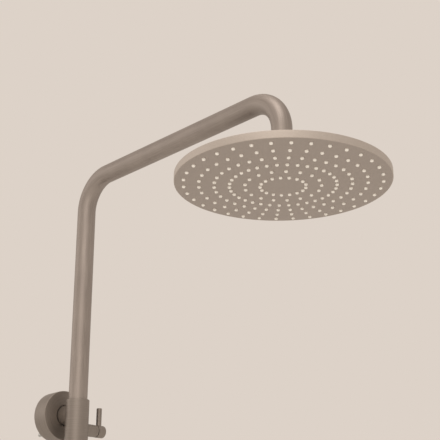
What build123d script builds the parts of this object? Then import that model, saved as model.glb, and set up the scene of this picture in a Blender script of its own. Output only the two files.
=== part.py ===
from build123d import *

import math
import os

# Wall-mounted thermostatic shower column: a bar mixer, a telescopic column, a swivelling arm
# and a round overhead shower on a ball joint. Lengths are in millimetres.
# X runs along the wall with the hot inlet on the left, Y points into the wall and Z is up.
# The origin lies on the wall, midway between the two inlets, at the height of the mixer's axis.

# Places of the main pieces
INLET_SPACING = 150.0
MIXER_OFFSET = 52.0
COLUMN_OFFSET = 45.2
BRACKET_HEIGHT = 800.0
HOLDER_HEIGHT = 480.0

# Clearances
RUNNING = 0.05
SEAT = 0.1
SEAM = 0.6

# Riser and arm, one bent tube
RISER_RADIUS = 11.0
RISER_WALL = 1.2
RISER_TAIL = 240.0
ARM_RISE = 288.4
ARM_REACH = 334.5
BEND_RADIUS = 40.0
DROP_STRAIGHT = 8.4

# Fixed lower column, in which the riser telescopes
TELESCOPE_GAP = 0.3
COLUMN_WALL = 0.9

# Overhead shower
FACE_RADIUS = 109.8
FACE_RISE = 3.5
FACE_DROP = 103.4
FACE_WALL = 1.6
RIM_WALL = 2.0
RIM_HEIGHT = 7.8
RIM_EDGE = 0.5
RIM_LIP = 0.2
COVER_WALL = 2.0
COVER_DOME = 13.4
COVER_SINK = 0.3
COVER_EDGE = 0.5
COVER_FOOT = 2.0
COVER_FLAT = 6.0
BOSS_FLARE = 6.0
BOSS_STEP = 1.5
BOSS_RISE = 2.0
NOZZLE_RADIUS = 1.6
NOZZLE_PROUD = 0.45
NOZZLE_HOLE_RADIUS = 2.1
NOZZLE_SIDES = 6
NOZZLES_PER_RING = 34
NOZZLE_START_ANGLE = 5.55
RING_RADIUS = 23.15
RING_PITCH = 15.42
RING_COUNT = 6
MAT_WALL = 1.6
MAT_MARGIN = 1.3
BACKING_WALL = 1.5
BACKING_MARGIN = 7.0
GASKET_MARGIN = 2.6
GASKET_WIDTH = 2.4
GASKET_HEIGHT = 1.4
CHANNEL_WIDTH = 2.4
CHANNEL_CUT = 12.0

# Ball joint above the overhead shower
BALL_RADIUS = 10.0
BALL_NECK_RADIUS = 5.5
BALL_NECK = 14.5
BALL_WATERWAY = 3.5
COLLAR_LENGTH = 6.5
COLLAR_EDGE = 1.0
POCKET_RADIUS = 7.0
POCKET_FLOOR = 4.0
RESTRICTOR_BORE = 1.8
RESTRICTOR_HEIGHT = 3.0
SEAT_WALL = 2.8
SEAT_BELOW = 7.0
SEAT_ABOVE = 1.0
SOCKET_WALL = 3.0
SOCKET_NUT_RADIUS = 19.0
SOCKET_NUT_BELOW = 11.5
SOCKET_NUT_ABOVE = 9.0
SOCKET_NUT_EDGE = 0.8
SOCKET_NUT_BEVEL = 3.0
MOUTH_RADIUS = 10.8
MOUTH_MIDDLE_RADIUS = 8.4
MOUTH_MIDDLE = 6.0
MOUTH_THROAT_RADIUS = 7.6
MOUTH_THROAT = 4.0
MOUTH_STEP = 2.4
BALL_GAP = 0.3

# Seals of the sliding plug in the riser's tail
GLAND_LENGTH = 9.0
GLAND_BORE = 7.0
GLAND_GROOVES = (1.4, 5.2)
GROOVE_WIDTH = 2.0
GROOVE_DEPTH = 1.2

# Bracket
ROSETTE_RADIUS = 29.0
ROSETTE_DEPTH = 21.4
ROSETTE_WALL = 1.8
ROSETTE_EDGE = 0.8
SLEEVE_RADIUS = 13.5
SLEEVE_TOP = 15.3
SLEEVE_BOTTOM = 64.5
SLEEVE_LIP = 1.5
SLEEVE_EDGE = 1.0
GUIDE_WALL = 0.8
LIP_GAP = 0.35
STUB_START = 6.0
TUBE_SOCKET = 32.5
STUB_RADIUS = 11.5
GUIDE_LENGTH = 20.0
POST_RADIUS = 8.0
POST_LENGTH = 28.0
PLATE_RADIUS = 24.0
PLATE_WALL = 3.0
SCREW_SPACING = 34.0
SCREW_RADIUS = 2.25
SCREW_LENGTH = 33.0
SCREW_NECK_RADIUS = 2.1
SCREW_RELIEF = 0.5
SCREW_HEAD_RADIUS = 4.3
SCREW_HEAD = 2.4
GRUB_RADIUS = 2.5
GRUB_OFFSET = 24.5

# Clamp screws with pin levers, on the bracket and on the hand shower holder
CLAMP_DROP = 18.2
BRACKET_NECK_END = 27.0
HOLDER_NECK_END = 22.0
NECK_RADIUS = 7.3
KNOB_RADIUS = 7.2
KNOB_LENGTH = 10.7
KNOB_EDGE = 2.2
KNOB_CLOSED = 3.0
PIN_RADIUS = 3.1
PIN_REACH = 27.2
PIN_EDGE = 0.6
PIN_PLACE = 3.8
SPINDLE_RADIUS = 3.95
SPINDLE_TIP_RADIUS = 2.5
PAD_RADIUS = 5.0
PAD_LENGTH = 4.5
PAD_RETREAT = 1.2

# Mixer body
BODY_RADIUS = 21.0
BODY_HALF = 92.0
BODY_EDGE = 0.8
CAVITY_RADIUS = 16.0
THREAD_RELIEF = 0.5
THREAD_LENGTH = 9.0
THERMO_FLOOR = 24.0
DIVERTER_FLOOR = 44.0
MIXED_GALLERY = 3.5
OUTLET_GALLERY = 2.8
OUTLET_GALLERY_OFFSET = 7.5
HOT_GALLERY = 2.5
HOT_GALLERY_OFFSET = 13.4
BOSS_RADIUS = 14.4
BOSS_TOP = 30.0
BOSS_SEAT = 14.0
BOSS_BORE = 8.3
HALF_INCH_RADIUS = 10.48
OUTLET_BORE = 6.5
OUTLET_LENGTH = 11.0
OUTLET_SHOULDER_RADIUS = 13.0
OUTLET_SHOULDER = 3.0

# Wall unions
UNION_DEPTH = 14.0
UNION_RISE = 6.0
UNION_RADIUS = 13.2
UNION_BACK = 2.0
UNION_FLANGE = 4.0
UNION_LENGTH = 20.0
UNION_BORE = 8.6
UNION_ROSETTE_DEPTH = 11.6
WASHER_WALL = 2.0
INLET_NECK_RADIUS = 10.2
INLET_COLLAR_RADIUS = 12.6
INLET_COLLAR = 2.2
INLET_BORE = 7.5
UNION_NUT_APOTHEM = 15.0
UNION_NUT_LENGTH = 15.5
STRAINER_WALL = 0.5
STRAINER_LENGTH = 4.0

# Non-return valves
CHECK_LENGTH = 12.5
CHECK_WALL = 1.6
CHECK_SEAT = 2.0
POPPET_RADIUS = 4.8
POPPET_WALL = 1.5
POPPET_STEM_RADIUS = 1.2

# Column nut on the mixer
COLUMN_NUT_RADIUS = 16.5
COLUMN_NUT_BOTTOM = 21.5
COLUMN_NUT_TOP = 36.0
COLUMN_NUT_EDGE = 0.8
COLUMN_NUT_BEVEL = 1.2
SEAL_HEIGHT = 2.0

# Cartridges, the same housing outside on both sides
HOUSING_RADIUS = 13.0
HOUSING_WALL = 2.0
HOUSING_END = 84.0
HOUSING_CAP = 4.0
HOUSING_NECK_RADIUS = 9.0
HOUSING_NECK = 12.0
CARTRIDGE_NUT_FACE = 95.0
CARTRIDGE_NUT_APOTHEM = 13.0
SHAFT_RADIUS = 5.0
SHAFT_END = 119.0

# Thermostatic side
SEPARATOR_PLACE = 48.0
SEPARATOR_WIDTH = 3.0
PORT_WIDTH = 9.0
PORT_LENGTH = 6.0
HOT_PORT_PLACE = 32.0
COLD_PORT_PLACE = 60.0
SLIDE_PLACE = 44.5
SLIDE_LENGTH = 10.0
SLIDE_WALL = 2.2
SPRING_RADIUS = 8.6
SPRING_WALL = 1.4
WAX_RADIUS = 5.0
WAX_PLACE = 36.0
WAX_LENGTH = 30.0
WAX_NOSE_RADIUS = 2.5
WAX_NOSE = 8.0
SPINDLE_CUP_RADIUS = 6.5
SPINDLE_CUP_PLACE = 69.0
SPINDLE_FLANGE_PLACE = 76.4
STOP_RING_PLACE = 95.2
STOP_RING_WIDTH = 2.5
STOP_RING_RADIUS = 14.5

# Diverter side
DISC_RADIUS = 10.8
GASKET_WALL = 1.5
FIXED_DISC_WALL = 4.0
MOVING_DISC_WALL = 4.0
DISC_POCKET = 2.0
STEM_FLANGE = 5.0
STEM_SHOULDER_RADIUS = 7.0

# Handles
HANDLE_LENGTH = 40.0
HANDLE_EDGE = 1.2
HANDLE_BORE = 17.8
HANDLE_CLOSED = 14.0
HUB_RADIUS = 8.5
HUB_START = 103.0
CAP_RADIUS = 7.0
CAP_WALL = 2.5
CAP_SHANK_RADIUS = 2.0
HANDLE_PIN_RADIUS = 4.0
HANDLE_PIN_ROOT = 9.5
HANDLE_PIN_REACH = 50.0
HANDLE_PIN_PLACE = 6.8
HANDLE_PIN_EDGE = 0.8
CAP_SINK = 0.3
CAP_THREAD = 7.0
BUTTON_RADIUS = 4.0
BUTTON_PLACE = 106.0
BUTTON_PROUD = 2.4
BUTTON_FLANGE = 1.5

# Hand shower holder
HOLDER_RADIUS = 16.5
HOLDER_HALF = 21.0
HOLDER_EDGE = 1.0
HOLDER_LIP = 1.8
HOLDER_GAP = 0.4
SLIDE_RING_WALL = 1.2
SLIDE_RING_LENGTH = 8.0
CRADLE_PLACE = 38.0
CRADLE_RADIUS = 15.5
CRADLE_HALF = 15.0
CRADLE_TOP_BORE = 12.6
CRADLE_BOTTOM_BORE = 11.2
CRADLE_SLOT = 16.0
CRADLE_HUB_RADIUS = 9.0
CRADLE_FACE = 17.5
STUD_RADIUS = 5.0
STUD_END = 21.0
CRADLE_SCREW_RADIUS = 2.0
CRADLE_SCREW_HEAD = 3.6
CRADLE_SCREW_HEAD_WALL = 2.0
CRADLE_WASHER_WALL = 2.4
CRADLE_SCREW_DEPTH = 5.5

# Worked out from the sizes above
COLUMN_BORE = RISER_RADIUS + TELESCOPE_GAP
COLUMN_RADIUS = COLUMN_BORE + COLUMN_WALL
RISER_BORE = RISER_RADIUS - RISER_WALL
HEAD_OFFSET = COLUMN_OFFSET + ARM_REACH
ARM_HEIGHT = BRACKET_HEIGHT + ARM_RISE
DROP_END = ARM_HEIGHT - BEND_RADIUS - DROP_STRAIGHT
BALL_HEIGHT = DROP_END - COLLAR_LENGTH - BALL_NECK
FACE_HEIGHT = ARM_HEIGHT - FACE_DROP
FACE_SPHERE = (FACE_RADIUS**2 + FACE_RISE**2) / (2 * FACE_RISE)
EDGE_HEIGHT = FACE_HEIGHT + FACE_RISE
RIM_TOP = EDGE_HEIGHT + RIM_HEIGHT
SEAT_OUTER = BALL_RADIUS + SEAT_WALL
CUP_RADIUS = SEAT_OUTER + RUNNING
BOSS_OUTER = CUP_RADIUS + SOCKET_WALL
TUBE_TOP = BRACKET_HEIGHT - TUBE_SOCKET
INLET_FACE = UNION_LENGTH + WASHER_WALL
HOUSING_BORE = HOUSING_RADIUS - HOUSING_WALL
HANDLE_START = BODY_HALF + SEAM
HANDLE_END = HANDLE_START + HANDLE_LENGTH
HANDLE_FLOOR = HANDLE_END - HANDLE_CLOSED
HALF_SPACING = INLET_SPACING / 2

# Local frames: height along the mixer's ends counts outwards, and their first axis points up
RIGHT_END = Plane(origin=(0, -MIXER_OFFSET, 0), x_dir=(0, 0, 1), z_dir=(1, 0, 0))
LEFT_END = Plane(origin=(0, -MIXER_OFFSET, 0), x_dir=(0, 0, 1), z_dir=(-1, 0, 0))
HEAD = Location((0, -HEAD_OFFSET, 0))
COLUMN = Location((0, -COLUMN_OFFSET, 0))


def rod(radius, start, end):
    """A round bar on the local Z axis."""
    return Pos(0, 0, start) * extrude(Circle(radius), end - start)


def ring(outer, inner, start, end):
    """A round tube on the local Z axis."""
    return Pos(0, 0, start) * extrude(Circle(outer) - Circle(inner), end - start)


def turned(*corners):
    """A turned piece whose outline has these corners, each given as radius and height."""
    outline = Polyline(*[(radius, 0, height) for radius, height in corners], close=True)
    return revolve(make_face(outline), Axis.Z)


def hexagon(apothem, start, end):
    """A hexagonal bar with its corners turned off at both ends."""
    corner = apothem / math.cos(math.radians(30))
    relief = (corner - apothem) * 0.7
    blank = Pos(0, 0, start) * extrude(RegularPolygon(apothem, 6, major_radius=False), end - start)
    lathe = turned(
        (0, start),
        (apothem, start),
        (corner, start + relief),
        (corner, end - relief),
        (apothem, end),
        (0, end),
    )
    return blank & lathe


def face_at(radius):
    """Height of the overhead shower's spray face at a radius: a shallow bowl, lowest in the middle."""
    return FACE_HEIGHT + FACE_SPHERE - math.sqrt(FACE_SPHERE**2 - radius**2)


def face_corners(radius, lift):
    """Corners of a ring round the spray face at a radius, one between each two directions of nozzles."""
    step = 360 / NOZZLES_PER_RING
    turns = [NOZZLE_START_ANGLE + step * (number + 0.5) for number in range(NOZZLES_PER_RING)]
    height = face_at(radius) + lift
    return [
        Vector(radius * math.cos(math.radians(turn)), radius * math.sin(math.radians(turn)), height)
        for turn in turns
    ]


def panel(*corners):
    """A flat face with these corners."""
    return make_face(Polyline(*corners, close=True))


def strip(first, second):
    """Flat panels that join two rings of corners."""
    return [
        panel(first[number - 1], first[number], second[number], second[number - 1])
        for number in range(len(first))
    ]


def face_sheet(radius, low, high):
    """A sheet that follows the spray face between two heights above it, in one flat panel a nozzle."""
    borders = [RING_RADIUS + RING_PITCH * (index - 0.5) for index in range(RING_COUNT)] + [radius]
    skins = []
    for lift in (low, high):
        rings = [face_corners(border, lift) for border in borders]
        skins.append(panel(*rings[0]))
        for inner, outer in zip(rings, rings[1:]):
            skins += strip(inner, outer)
    skins += strip(face_corners(radius, low), face_corners(radius, high))
    return Solid(Shell(skins))


def nozzle_rings():
    """Each ring's radius with the angles of its nozzles; the two inner rings miss every other one."""
    step = 360 / NOZZLES_PER_RING
    for index in range(RING_COUNT):
        if index < 2:
            numbers = range(index, NOZZLES_PER_RING, 2)
        else:
            numbers = range(NOZZLES_PER_RING)
        yield RING_RADIUS + index * RING_PITCH, [NOZZLE_START_ANGLE + step * number for number in numbers]


def nozzle_prisms(size, low, high):
    """One prism at each nozzle, between two heights above the spray face."""
    prisms = []
    for radius, angles in nozzle_rings():
        spots = [Rot(0, 0, angle) * Pos(radius, 0) for angle in angles]
        flats = Sketch() + [spot * RegularPolygon(size, NOZZLE_SIDES) for spot in spots]
        prisms.append(Pos(0, 0, face_at(radius) + low) * extrude(flats, high - low))
    return prisms


def make_riser_arm():
    """The bent tube: tail, riser, bend, level arm, bend and drop."""
    corner = BEND_RADIUS * (1 - math.sqrt(0.5))
    near, far = -COLUMN_OFFSET, -HEAD_OFFSET
    low, top = BRACKET_HEIGHT - RISER_TAIL, ARM_HEIGHT
    path = [
        Line((0, near, low), (0, near, top - BEND_RADIUS)),
        ThreePointArc(
            (0, near, top - BEND_RADIUS), (0, near - corner, top - corner), (0, near - BEND_RADIUS, top)
        ),
        Line((0, near - BEND_RADIUS, top), (0, far + BEND_RADIUS, top)),
        ThreePointArc(
            (0, far + BEND_RADIUS, top), (0, far + corner, top - corner), (0, far, top - BEND_RADIUS)
        ),
        Line((0, far, top - BEND_RADIUS), (0, far, DROP_END)),
    ]
    section = Pos(0, near, low) * (Circle(RISER_RADIUS) - Circle(RISER_BORE))
    return sweep(section, path=Wire(path))


def make_ball_stud():
    """Threaded into the tube's end: spigot, collar, neck and ball, drilled through."""
    ball = Pos(0, 0, BALL_HEIGHT) * Sphere(BALL_RADIUS)
    stud = turned(
        (0, BALL_HEIGHT),
        (BALL_NECK_RADIUS, BALL_HEIGHT),
        (BALL_NECK_RADIUS, BALL_HEIGHT + BALL_NECK),
        (RISER_RADIUS - COLLAR_EDGE, BALL_HEIGHT + BALL_NECK),
        (RISER_RADIUS, BALL_HEIGHT + BALL_NECK + COLLAR_EDGE),
        (RISER_RADIUS, DROP_END),
        (RISER_BORE - RUNNING, DROP_END),
        (RISER_BORE - RUNNING, DROP_END + DROP_STRAIGHT),
        (0, DROP_END + DROP_STRAIGHT),
    )
    waterway = rod(BALL_WATERWAY, BALL_HEIGHT - BALL_RADIUS - 1, DROP_END + DROP_STRAIGHT)
    pocket = rod(POCKET_RADIUS, DROP_END + POCKET_FLOOR, DROP_END + DROP_STRAIGHT)
    return HEAD * (ball + stud - waterway - pocket)


def make_flow_restrictor():
    """A flow washer dropped into the stud's upper pocket."""
    low = DROP_END + POCKET_FLOOR
    return HEAD * ring(POCKET_RADIUS - SEAT, RESTRICTOR_BORE, low, low + RESTRICTOR_HEIGHT)


def make_ball_seat():
    """The low-friction ring between ball and socket, round inside and outside."""
    shell = Sphere(SEAT_OUTER) - Sphere(BALL_RADIUS + RUNNING)
    band = rod(SEAT_OUTER + 1, -SEAT_BELOW, SEAT_ABOVE)
    return HEAD * (Pos(0, 0, BALL_HEIGHT) * (shell & band))


def make_head_cover():
    """The upper shell with its socket boss."""
    edge = FACE_RADIUS - RIM_WALL - SEAT * 2
    shoulder = BOSS_OUTER + BOSS_FLARE
    crown = EDGE_HEIGHT + FACE_WALL + COVER_DOME
    top = RIM_TOP - COVER_SINK
    foot = EDGE_HEIGHT + FACE_WALL + MAT_WALL + SEAT
    skin = turned(
        (0, crown - COVER_WALL),
        (shoulder, crown - COVER_WALL),
        (edge - COVER_FOOT - COVER_FLAT, top - COVER_WALL),
        (edge - COVER_FOOT, top - COVER_WALL),
        (edge - COVER_FOOT, foot),
        (edge, foot),
        (edge, top - COVER_EDGE),
        (edge - COVER_EDGE, top),
        (edge - COVER_FLAT, top),
        (shoulder, crown),
        (BOSS_OUTER, crown + BOSS_STEP),
        (BOSS_OUTER, BALL_HEIGHT + BOSS_RISE),
        (0, BALL_HEIGHT + BOSS_RISE),
    )
    cup = Pos(0, 0, BALL_HEIGHT) * Sphere(CUP_RADIUS)
    mouth = rod(CUP_RADIUS, BALL_HEIGHT, BALL_HEIGHT + BOSS_RISE + 1)
    inlet = rod(BALL_NECK_RADIUS, crown - COVER_WALL - 1, BALL_HEIGHT)
    return HEAD * (skin - cup - mouth - inlet)


def make_socket_nut():
    """The nut that holds the ball down, with a flared mouth that lets the neck lean."""
    base = BALL_HEIGHT
    low = base - SOCKET_NUT_BELOW
    top = base + SOCKET_NUT_ABOVE
    thread = BOSS_OUTER + SEAT
    nut = turned(
        (thread, low),
        (SOCKET_NUT_RADIUS - SOCKET_NUT_EDGE, low),
        (SOCKET_NUT_RADIUS, low + SOCKET_NUT_EDGE),
        (SOCKET_NUT_RADIUS, top - SOCKET_NUT_BEVEL),
        (SOCKET_NUT_RADIUS - SOCKET_NUT_BEVEL, top),
        (MOUTH_RADIUS, top),
        (MOUTH_MIDDLE_RADIUS, base + MOUTH_MIDDLE),
        (MOUTH_THROAT_RADIUS, base + MOUTH_THROAT),
        (CUP_RADIUS + 4 * SEAT, base + MOUTH_THROAT),
        (CUP_RADIUS + 4 * SEAT, base + MOUTH_STEP),
        (thread, base + MOUTH_STEP),
    )
    hollow = Pos(0, 0, base) * Sphere(BALL_RADIUS + BALL_GAP)
    return HEAD * (nut - hollow)


def make_face_plate():
    """The spray face with its rim, pierced for every nozzle."""
    plate = face_sheet(FACE_RADIUS - RIM_WALL / 2, 0, FACE_WALL)
    rim = turned(
        (FACE_RADIUS - RIM_WALL, EDGE_HEIGHT - RIM_LIP),
        (FACE_RADIUS - RIM_EDGE, EDGE_HEIGHT - RIM_LIP),
        (FACE_RADIUS, EDGE_HEIGHT - RIM_LIP + RIM_EDGE),
        (FACE_RADIUS, RIM_TOP - RIM_EDGE),
        (FACE_RADIUS - RIM_EDGE, RIM_TOP),
        (FACE_RADIUS - RIM_WALL, RIM_TOP),
    )
    plate = plate + rim
    for prisms in nozzle_prisms(NOZZLE_HOLE_RADIUS, -1, FACE_WALL + 1):
        plate = plate - prisms
    return HEAD * plate


def make_nozzle_mat():
    """The soft mat behind the face, with a spray nozzle standing through every hole."""
    mat = face_sheet(FACE_RADIUS - RIM_WALL - MAT_MARGIN, FACE_WALL + SEAT, FACE_WALL + SEAT + MAT_WALL)
    for prisms in nozzle_prisms(NOZZLE_RADIUS, -NOZZLE_PROUD, FACE_WALL + 1):
        mat = mat + prisms
    return HEAD * mat


def make_backing_plate():
    """Holds the mat against the face; radial channels feed each row of nozzles."""
    low = FACE_WALL + MAT_WALL + 2 * SEAT
    outer = FACE_RADIUS - RIM_WALL - BACKING_MARGIN
    plate = face_sheet(outer, low, low + BACKING_WALL)
    length = RING_PITCH * (RING_COUNT - 1) + CHANNEL_WIDTH
    middle = RING_RADIUS + RING_PITCH * (RING_COUNT - 1) / 2
    for number in range(NOZZLES_PER_RING):
        shorter = RING_PITCH * (number % 2)
        channel = Box(length - shorter, CHANNEL_WIDTH, CHANNEL_CUT)
        angle = NOZZLE_START_ANGLE + number * 360 / NOZZLES_PER_RING
        plate = plate - Rot(0, 0, angle) * Pos(middle + shorter / 2, 0, FACE_HEIGHT + low) * channel
    return HEAD * plate


def make_head_gasket():
    """The ring that seals the mat's edge under the cover's foot."""
    outer = FACE_RADIUS - RIM_WALL - GASKET_MARGIN
    low = face_at(outer) + FACE_WALL + MAT_WALL + 2 * SEAT
    return HEAD * ring(outer, outer - GASKET_WIDTH, low, low + GASKET_HEIGHT)


def clamp_frame(height, side):
    """Frame of a clamp screw: height counts away from the column, first axis up."""
    return Plane(origin=(0, -COLUMN_OFFSET, height), x_dir=(0, 0, 1), z_dir=(side, 0, 0))


def clamp_bore(pressed, neck_end):
    """The threaded hole through a clamp's neck with the pocket for its pad."""
    pad_end = pressed + PAD_LENGTH
    return rod(PAD_RADIUS + SEAT, 0, pad_end + PAD_RETREAT) + rod(SPINDLE_RADIUS + RUNNING, 0, neck_end + 1)


def make_pad(pressed):
    """Soft pad hollowed to the tube that it presses on, with a socket for the screw's tip."""
    pad_end = pressed + PAD_LENGTH
    blank = rod(PAD_RADIUS, pressed - 2, pad_end)
    tube = Rot(0, 90, 0) * Cylinder(pressed + SEAT, 40)
    socket = rod(SPINDLE_TIP_RADIUS + SEAT, pad_end - 2, pad_end)
    return blank - tube - socket


def make_spindle(pressed, neck_end):
    """The clamp's screw, with a turned-down tip that seats in the pad."""
    pad_end = pressed + PAD_LENGTH
    return turned(
        (0, pad_end - 2 + SEAT),
        (SPINDLE_TIP_RADIUS, pad_end - 2 + SEAT),
        (SPINDLE_TIP_RADIUS, pad_end + SEAT),
        (SPINDLE_RADIUS, pad_end + SEAT),
        (SPINDLE_RADIUS, neck_end + SEAM + KNOB_LENGTH - KNOB_CLOSED),
        (0, neck_end + SEAM + KNOB_LENGTH - KNOB_CLOSED),
    )


def make_knob(neck_end):
    """A small round knob with a rounded end, bored for its screw and its lever."""
    start = neck_end + SEAM
    end = start + KNOB_LENGTH
    blank = turned(
        (0, start),
        (KNOB_RADIUS, start),
        (KNOB_RADIUS, end - KNOB_EDGE),
        (KNOB_RADIUS - KNOB_EDGE * 0.3, end - KNOB_EDGE * 0.3),
        (KNOB_RADIUS - KNOB_EDGE, end),
        (0, end),
    )
    screw = rod(SPINDLE_RADIUS + RUNNING, start, end - KNOB_CLOSED + SEAT)
    lever = Rot(0, 90, 0) * rod(PIN_RADIUS + RUNNING, SPINDLE_RADIUS, PIN_REACH)
    return blank - screw - Pos(0, 0, start + PIN_PLACE) * lever


def make_lever(neck_end):
    """The pin that turns a clamp knob, standing up from it."""
    root = SPINDLE_RADIUS + 4 * SEAT
    pin = turned(
        (0, root),
        (PIN_RADIUS, root),
        (PIN_RADIUS, PIN_REACH - PIN_EDGE),
        (PIN_RADIUS - PIN_EDGE, PIN_REACH),
        (0, PIN_REACH),
    )
    return Pos(0, 0, neck_end + SEAM + PIN_PLACE) * Rot(0, 90, 0) * pin


def make_bracket_body():
    """The upright sleeve with its wall stub and the neck of the clamp screw."""
    top = BRACKET_HEIGHT + SLEEVE_TOP
    low = BRACKET_HEIGHT - SLEEVE_BOTTOM
    sleeve = turned(
        (0, low),
        (SLEEVE_RADIUS - SLEEVE_EDGE, low),
        (SLEEVE_RADIUS, low + SLEEVE_EDGE),
        (SLEEVE_RADIUS, top - SLEEVE_EDGE),
        (SLEEVE_RADIUS - SLEEVE_EDGE, top),
        (0, top),
    )
    stub_plane = Plane(origin=(0, 0, BRACKET_HEIGHT), z_dir=(0, -1, 0))
    stub = stub_plane * rod(STUB_RADIUS, STUB_START, COLUMN_OFFSET)
    neck = clamp_frame(BRACKET_HEIGHT - CLAMP_DROP, 1) * rod(NECK_RADIUS, 0, BRACKET_NECK_END)
    bore = turned(
        (0, low),
        (COLUMN_RADIUS + RUNNING, low),
        (COLUMN_RADIUS + RUNNING, TUBE_TOP),
        (COLUMN_BORE + TELESCOPE_GAP, TUBE_TOP),
        (COLUMN_BORE + TELESCOPE_GAP, top - SLEEVE_LIP - GUIDE_LENGTH),
        (COLUMN_BORE + GUIDE_WALL, top - SLEEVE_LIP - GUIDE_LENGTH),
        (COLUMN_BORE + GUIDE_WALL, top - SLEEVE_LIP),
        (RISER_RADIUS + LIP_GAP, top - SLEEVE_LIP),
        (RISER_RADIUS + LIP_GAP, top),
        (0, top),
    )
    post = stub_plane * rod(POST_RADIUS + SEAT, 0, POST_LENGTH + 1)
    grub_plane = Plane(origin=(0, -GRUB_OFFSET, BRACKET_HEIGHT), z_dir=(1, 0, 0))
    grub = grub_plane * rod(GRUB_RADIUS, 0, STUB_RADIUS)
    clamp = clamp_frame(BRACKET_HEIGHT - CLAMP_DROP, 1) * clamp_bore(RISER_RADIUS, BRACKET_NECK_END)
    return COLUMN * sleeve + stub + neck - COLUMN * bore - post - grub - clamp


def make_guide_ring():
    """The slide ring in the sleeve's top, in which the riser moves and turns."""
    top = BRACKET_HEIGHT + SLEEVE_TOP - SLEEVE_LIP
    return COLUMN * ring(COLUMN_BORE + GUIDE_WALL, RISER_RADIUS + RUNNING, top - GUIDE_LENGTH, top)


def make_rosette(depth, opening, height, across):
    """A turned cover on the wall: a shallow can with a round opening in its front."""
    can = turned(
        (ROSETTE_RADIUS - ROSETTE_WALL, 0),
        (ROSETTE_RADIUS, 0),
        (ROSETTE_RADIUS, depth - ROSETTE_EDGE),
        (ROSETTE_RADIUS - ROSETTE_EDGE, depth),
        (opening, depth),
        (opening, depth - ROSETTE_WALL),
        (ROSETTE_RADIUS - ROSETTE_WALL, depth - ROSETTE_WALL),
    )
    return Plane(origin=(across, 0, height), z_dir=(0, -1, 0)) * can


def make_wall_plate():
    """The steel disc behind the bracket's rosette, with the post that carries the stub."""
    disc = rod(PLATE_RADIUS, 0, PLATE_WALL) + rod(POST_RADIUS, 0, POST_LENGTH)
    hole = rod(SCREW_RADIUS + SEAT, 0, PLATE_WALL)
    holes = [Pos(side * SCREW_SPACING / 2, 0) * hole for side in (-1, 1)]
    return Plane(origin=(0, 0, BRACKET_HEIGHT), z_dir=(0, -1, 0)) * (disc - holes)


def make_wall_screws():
    """Two screws that hold the bracket's plate, reaching into the wall."""
    head = rod(SCREW_HEAD_RADIUS, PLATE_WALL, PLATE_WALL + SCREW_HEAD)
    neck = rod(SCREW_NECK_RADIUS, -SCREW_RELIEF, PLATE_WALL)
    screw = head + neck + rod(SCREW_RADIUS, PLATE_WALL - SCREW_LENGTH, -SCREW_RELIEF)
    plane = Plane(origin=(0, 0, BRACKET_HEIGHT), z_dir=(0, -1, 0))
    return Part() + [plane * (Pos(side * SCREW_SPACING / 2, 0) * screw) for side in (-1, 1)]


def make_bracket_grub():
    """The grub screw that locks the stub on the post."""
    plane = Plane(origin=(0, -GRUB_OFFSET, BRACKET_HEIGHT), z_dir=(1, 0, 0))
    return plane * rod(GRUB_RADIUS - RUNNING, POST_RADIUS + SEAT, STUB_RADIUS - 0.3)


def make_column_tube():
    """The fixed lower tube between mixer and bracket."""
    return COLUMN * ring(COLUMN_RADIUS, COLUMN_BORE, BOSS_SEAT, TUBE_TOP)


def make_riser_gland():
    """The sliding plug in the riser's tail that carries its seals."""
    low = BRACKET_HEIGHT - RISER_TAIL - GLAND_LENGTH
    outer = COLUMN_BORE - RUNNING
    groove = outer - GROOVE_DEPTH
    corners = [(GLAND_BORE, low), (outer, low)]
    for place in GLAND_GROOVES:
        start, end = low + place, low + place + GROOVE_WIDTH
        corners += [(outer, start), (groove, start), (groove, end), (outer, end)]
    corners += [
        (outer, low + GLAND_LENGTH),
        (RISER_BORE - RUNNING, low + GLAND_LENGTH),
        (RISER_BORE - RUNNING, low + 2 * GLAND_LENGTH),
        (GLAND_BORE, low + 2 * GLAND_LENGTH),
    ]
    return COLUMN * turned(*corners)


def make_gland_seals():
    """The two lip seals in the gland's grooves."""
    low = BRACKET_HEIGHT - RISER_TAIL - GLAND_LENGTH + SEAT
    outer = COLUMN_BORE - RUNNING / 2
    inner = COLUMN_BORE - RUNNING - GROOVE_DEPTH + SEAT
    seals = Part()
    for place in GLAND_GROOVES:
        seals = seals + ring(outer, inner, low + place, low + place + GROOVE_WIDTH - 2 * SEAT)
    return COLUMN * seals


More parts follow.
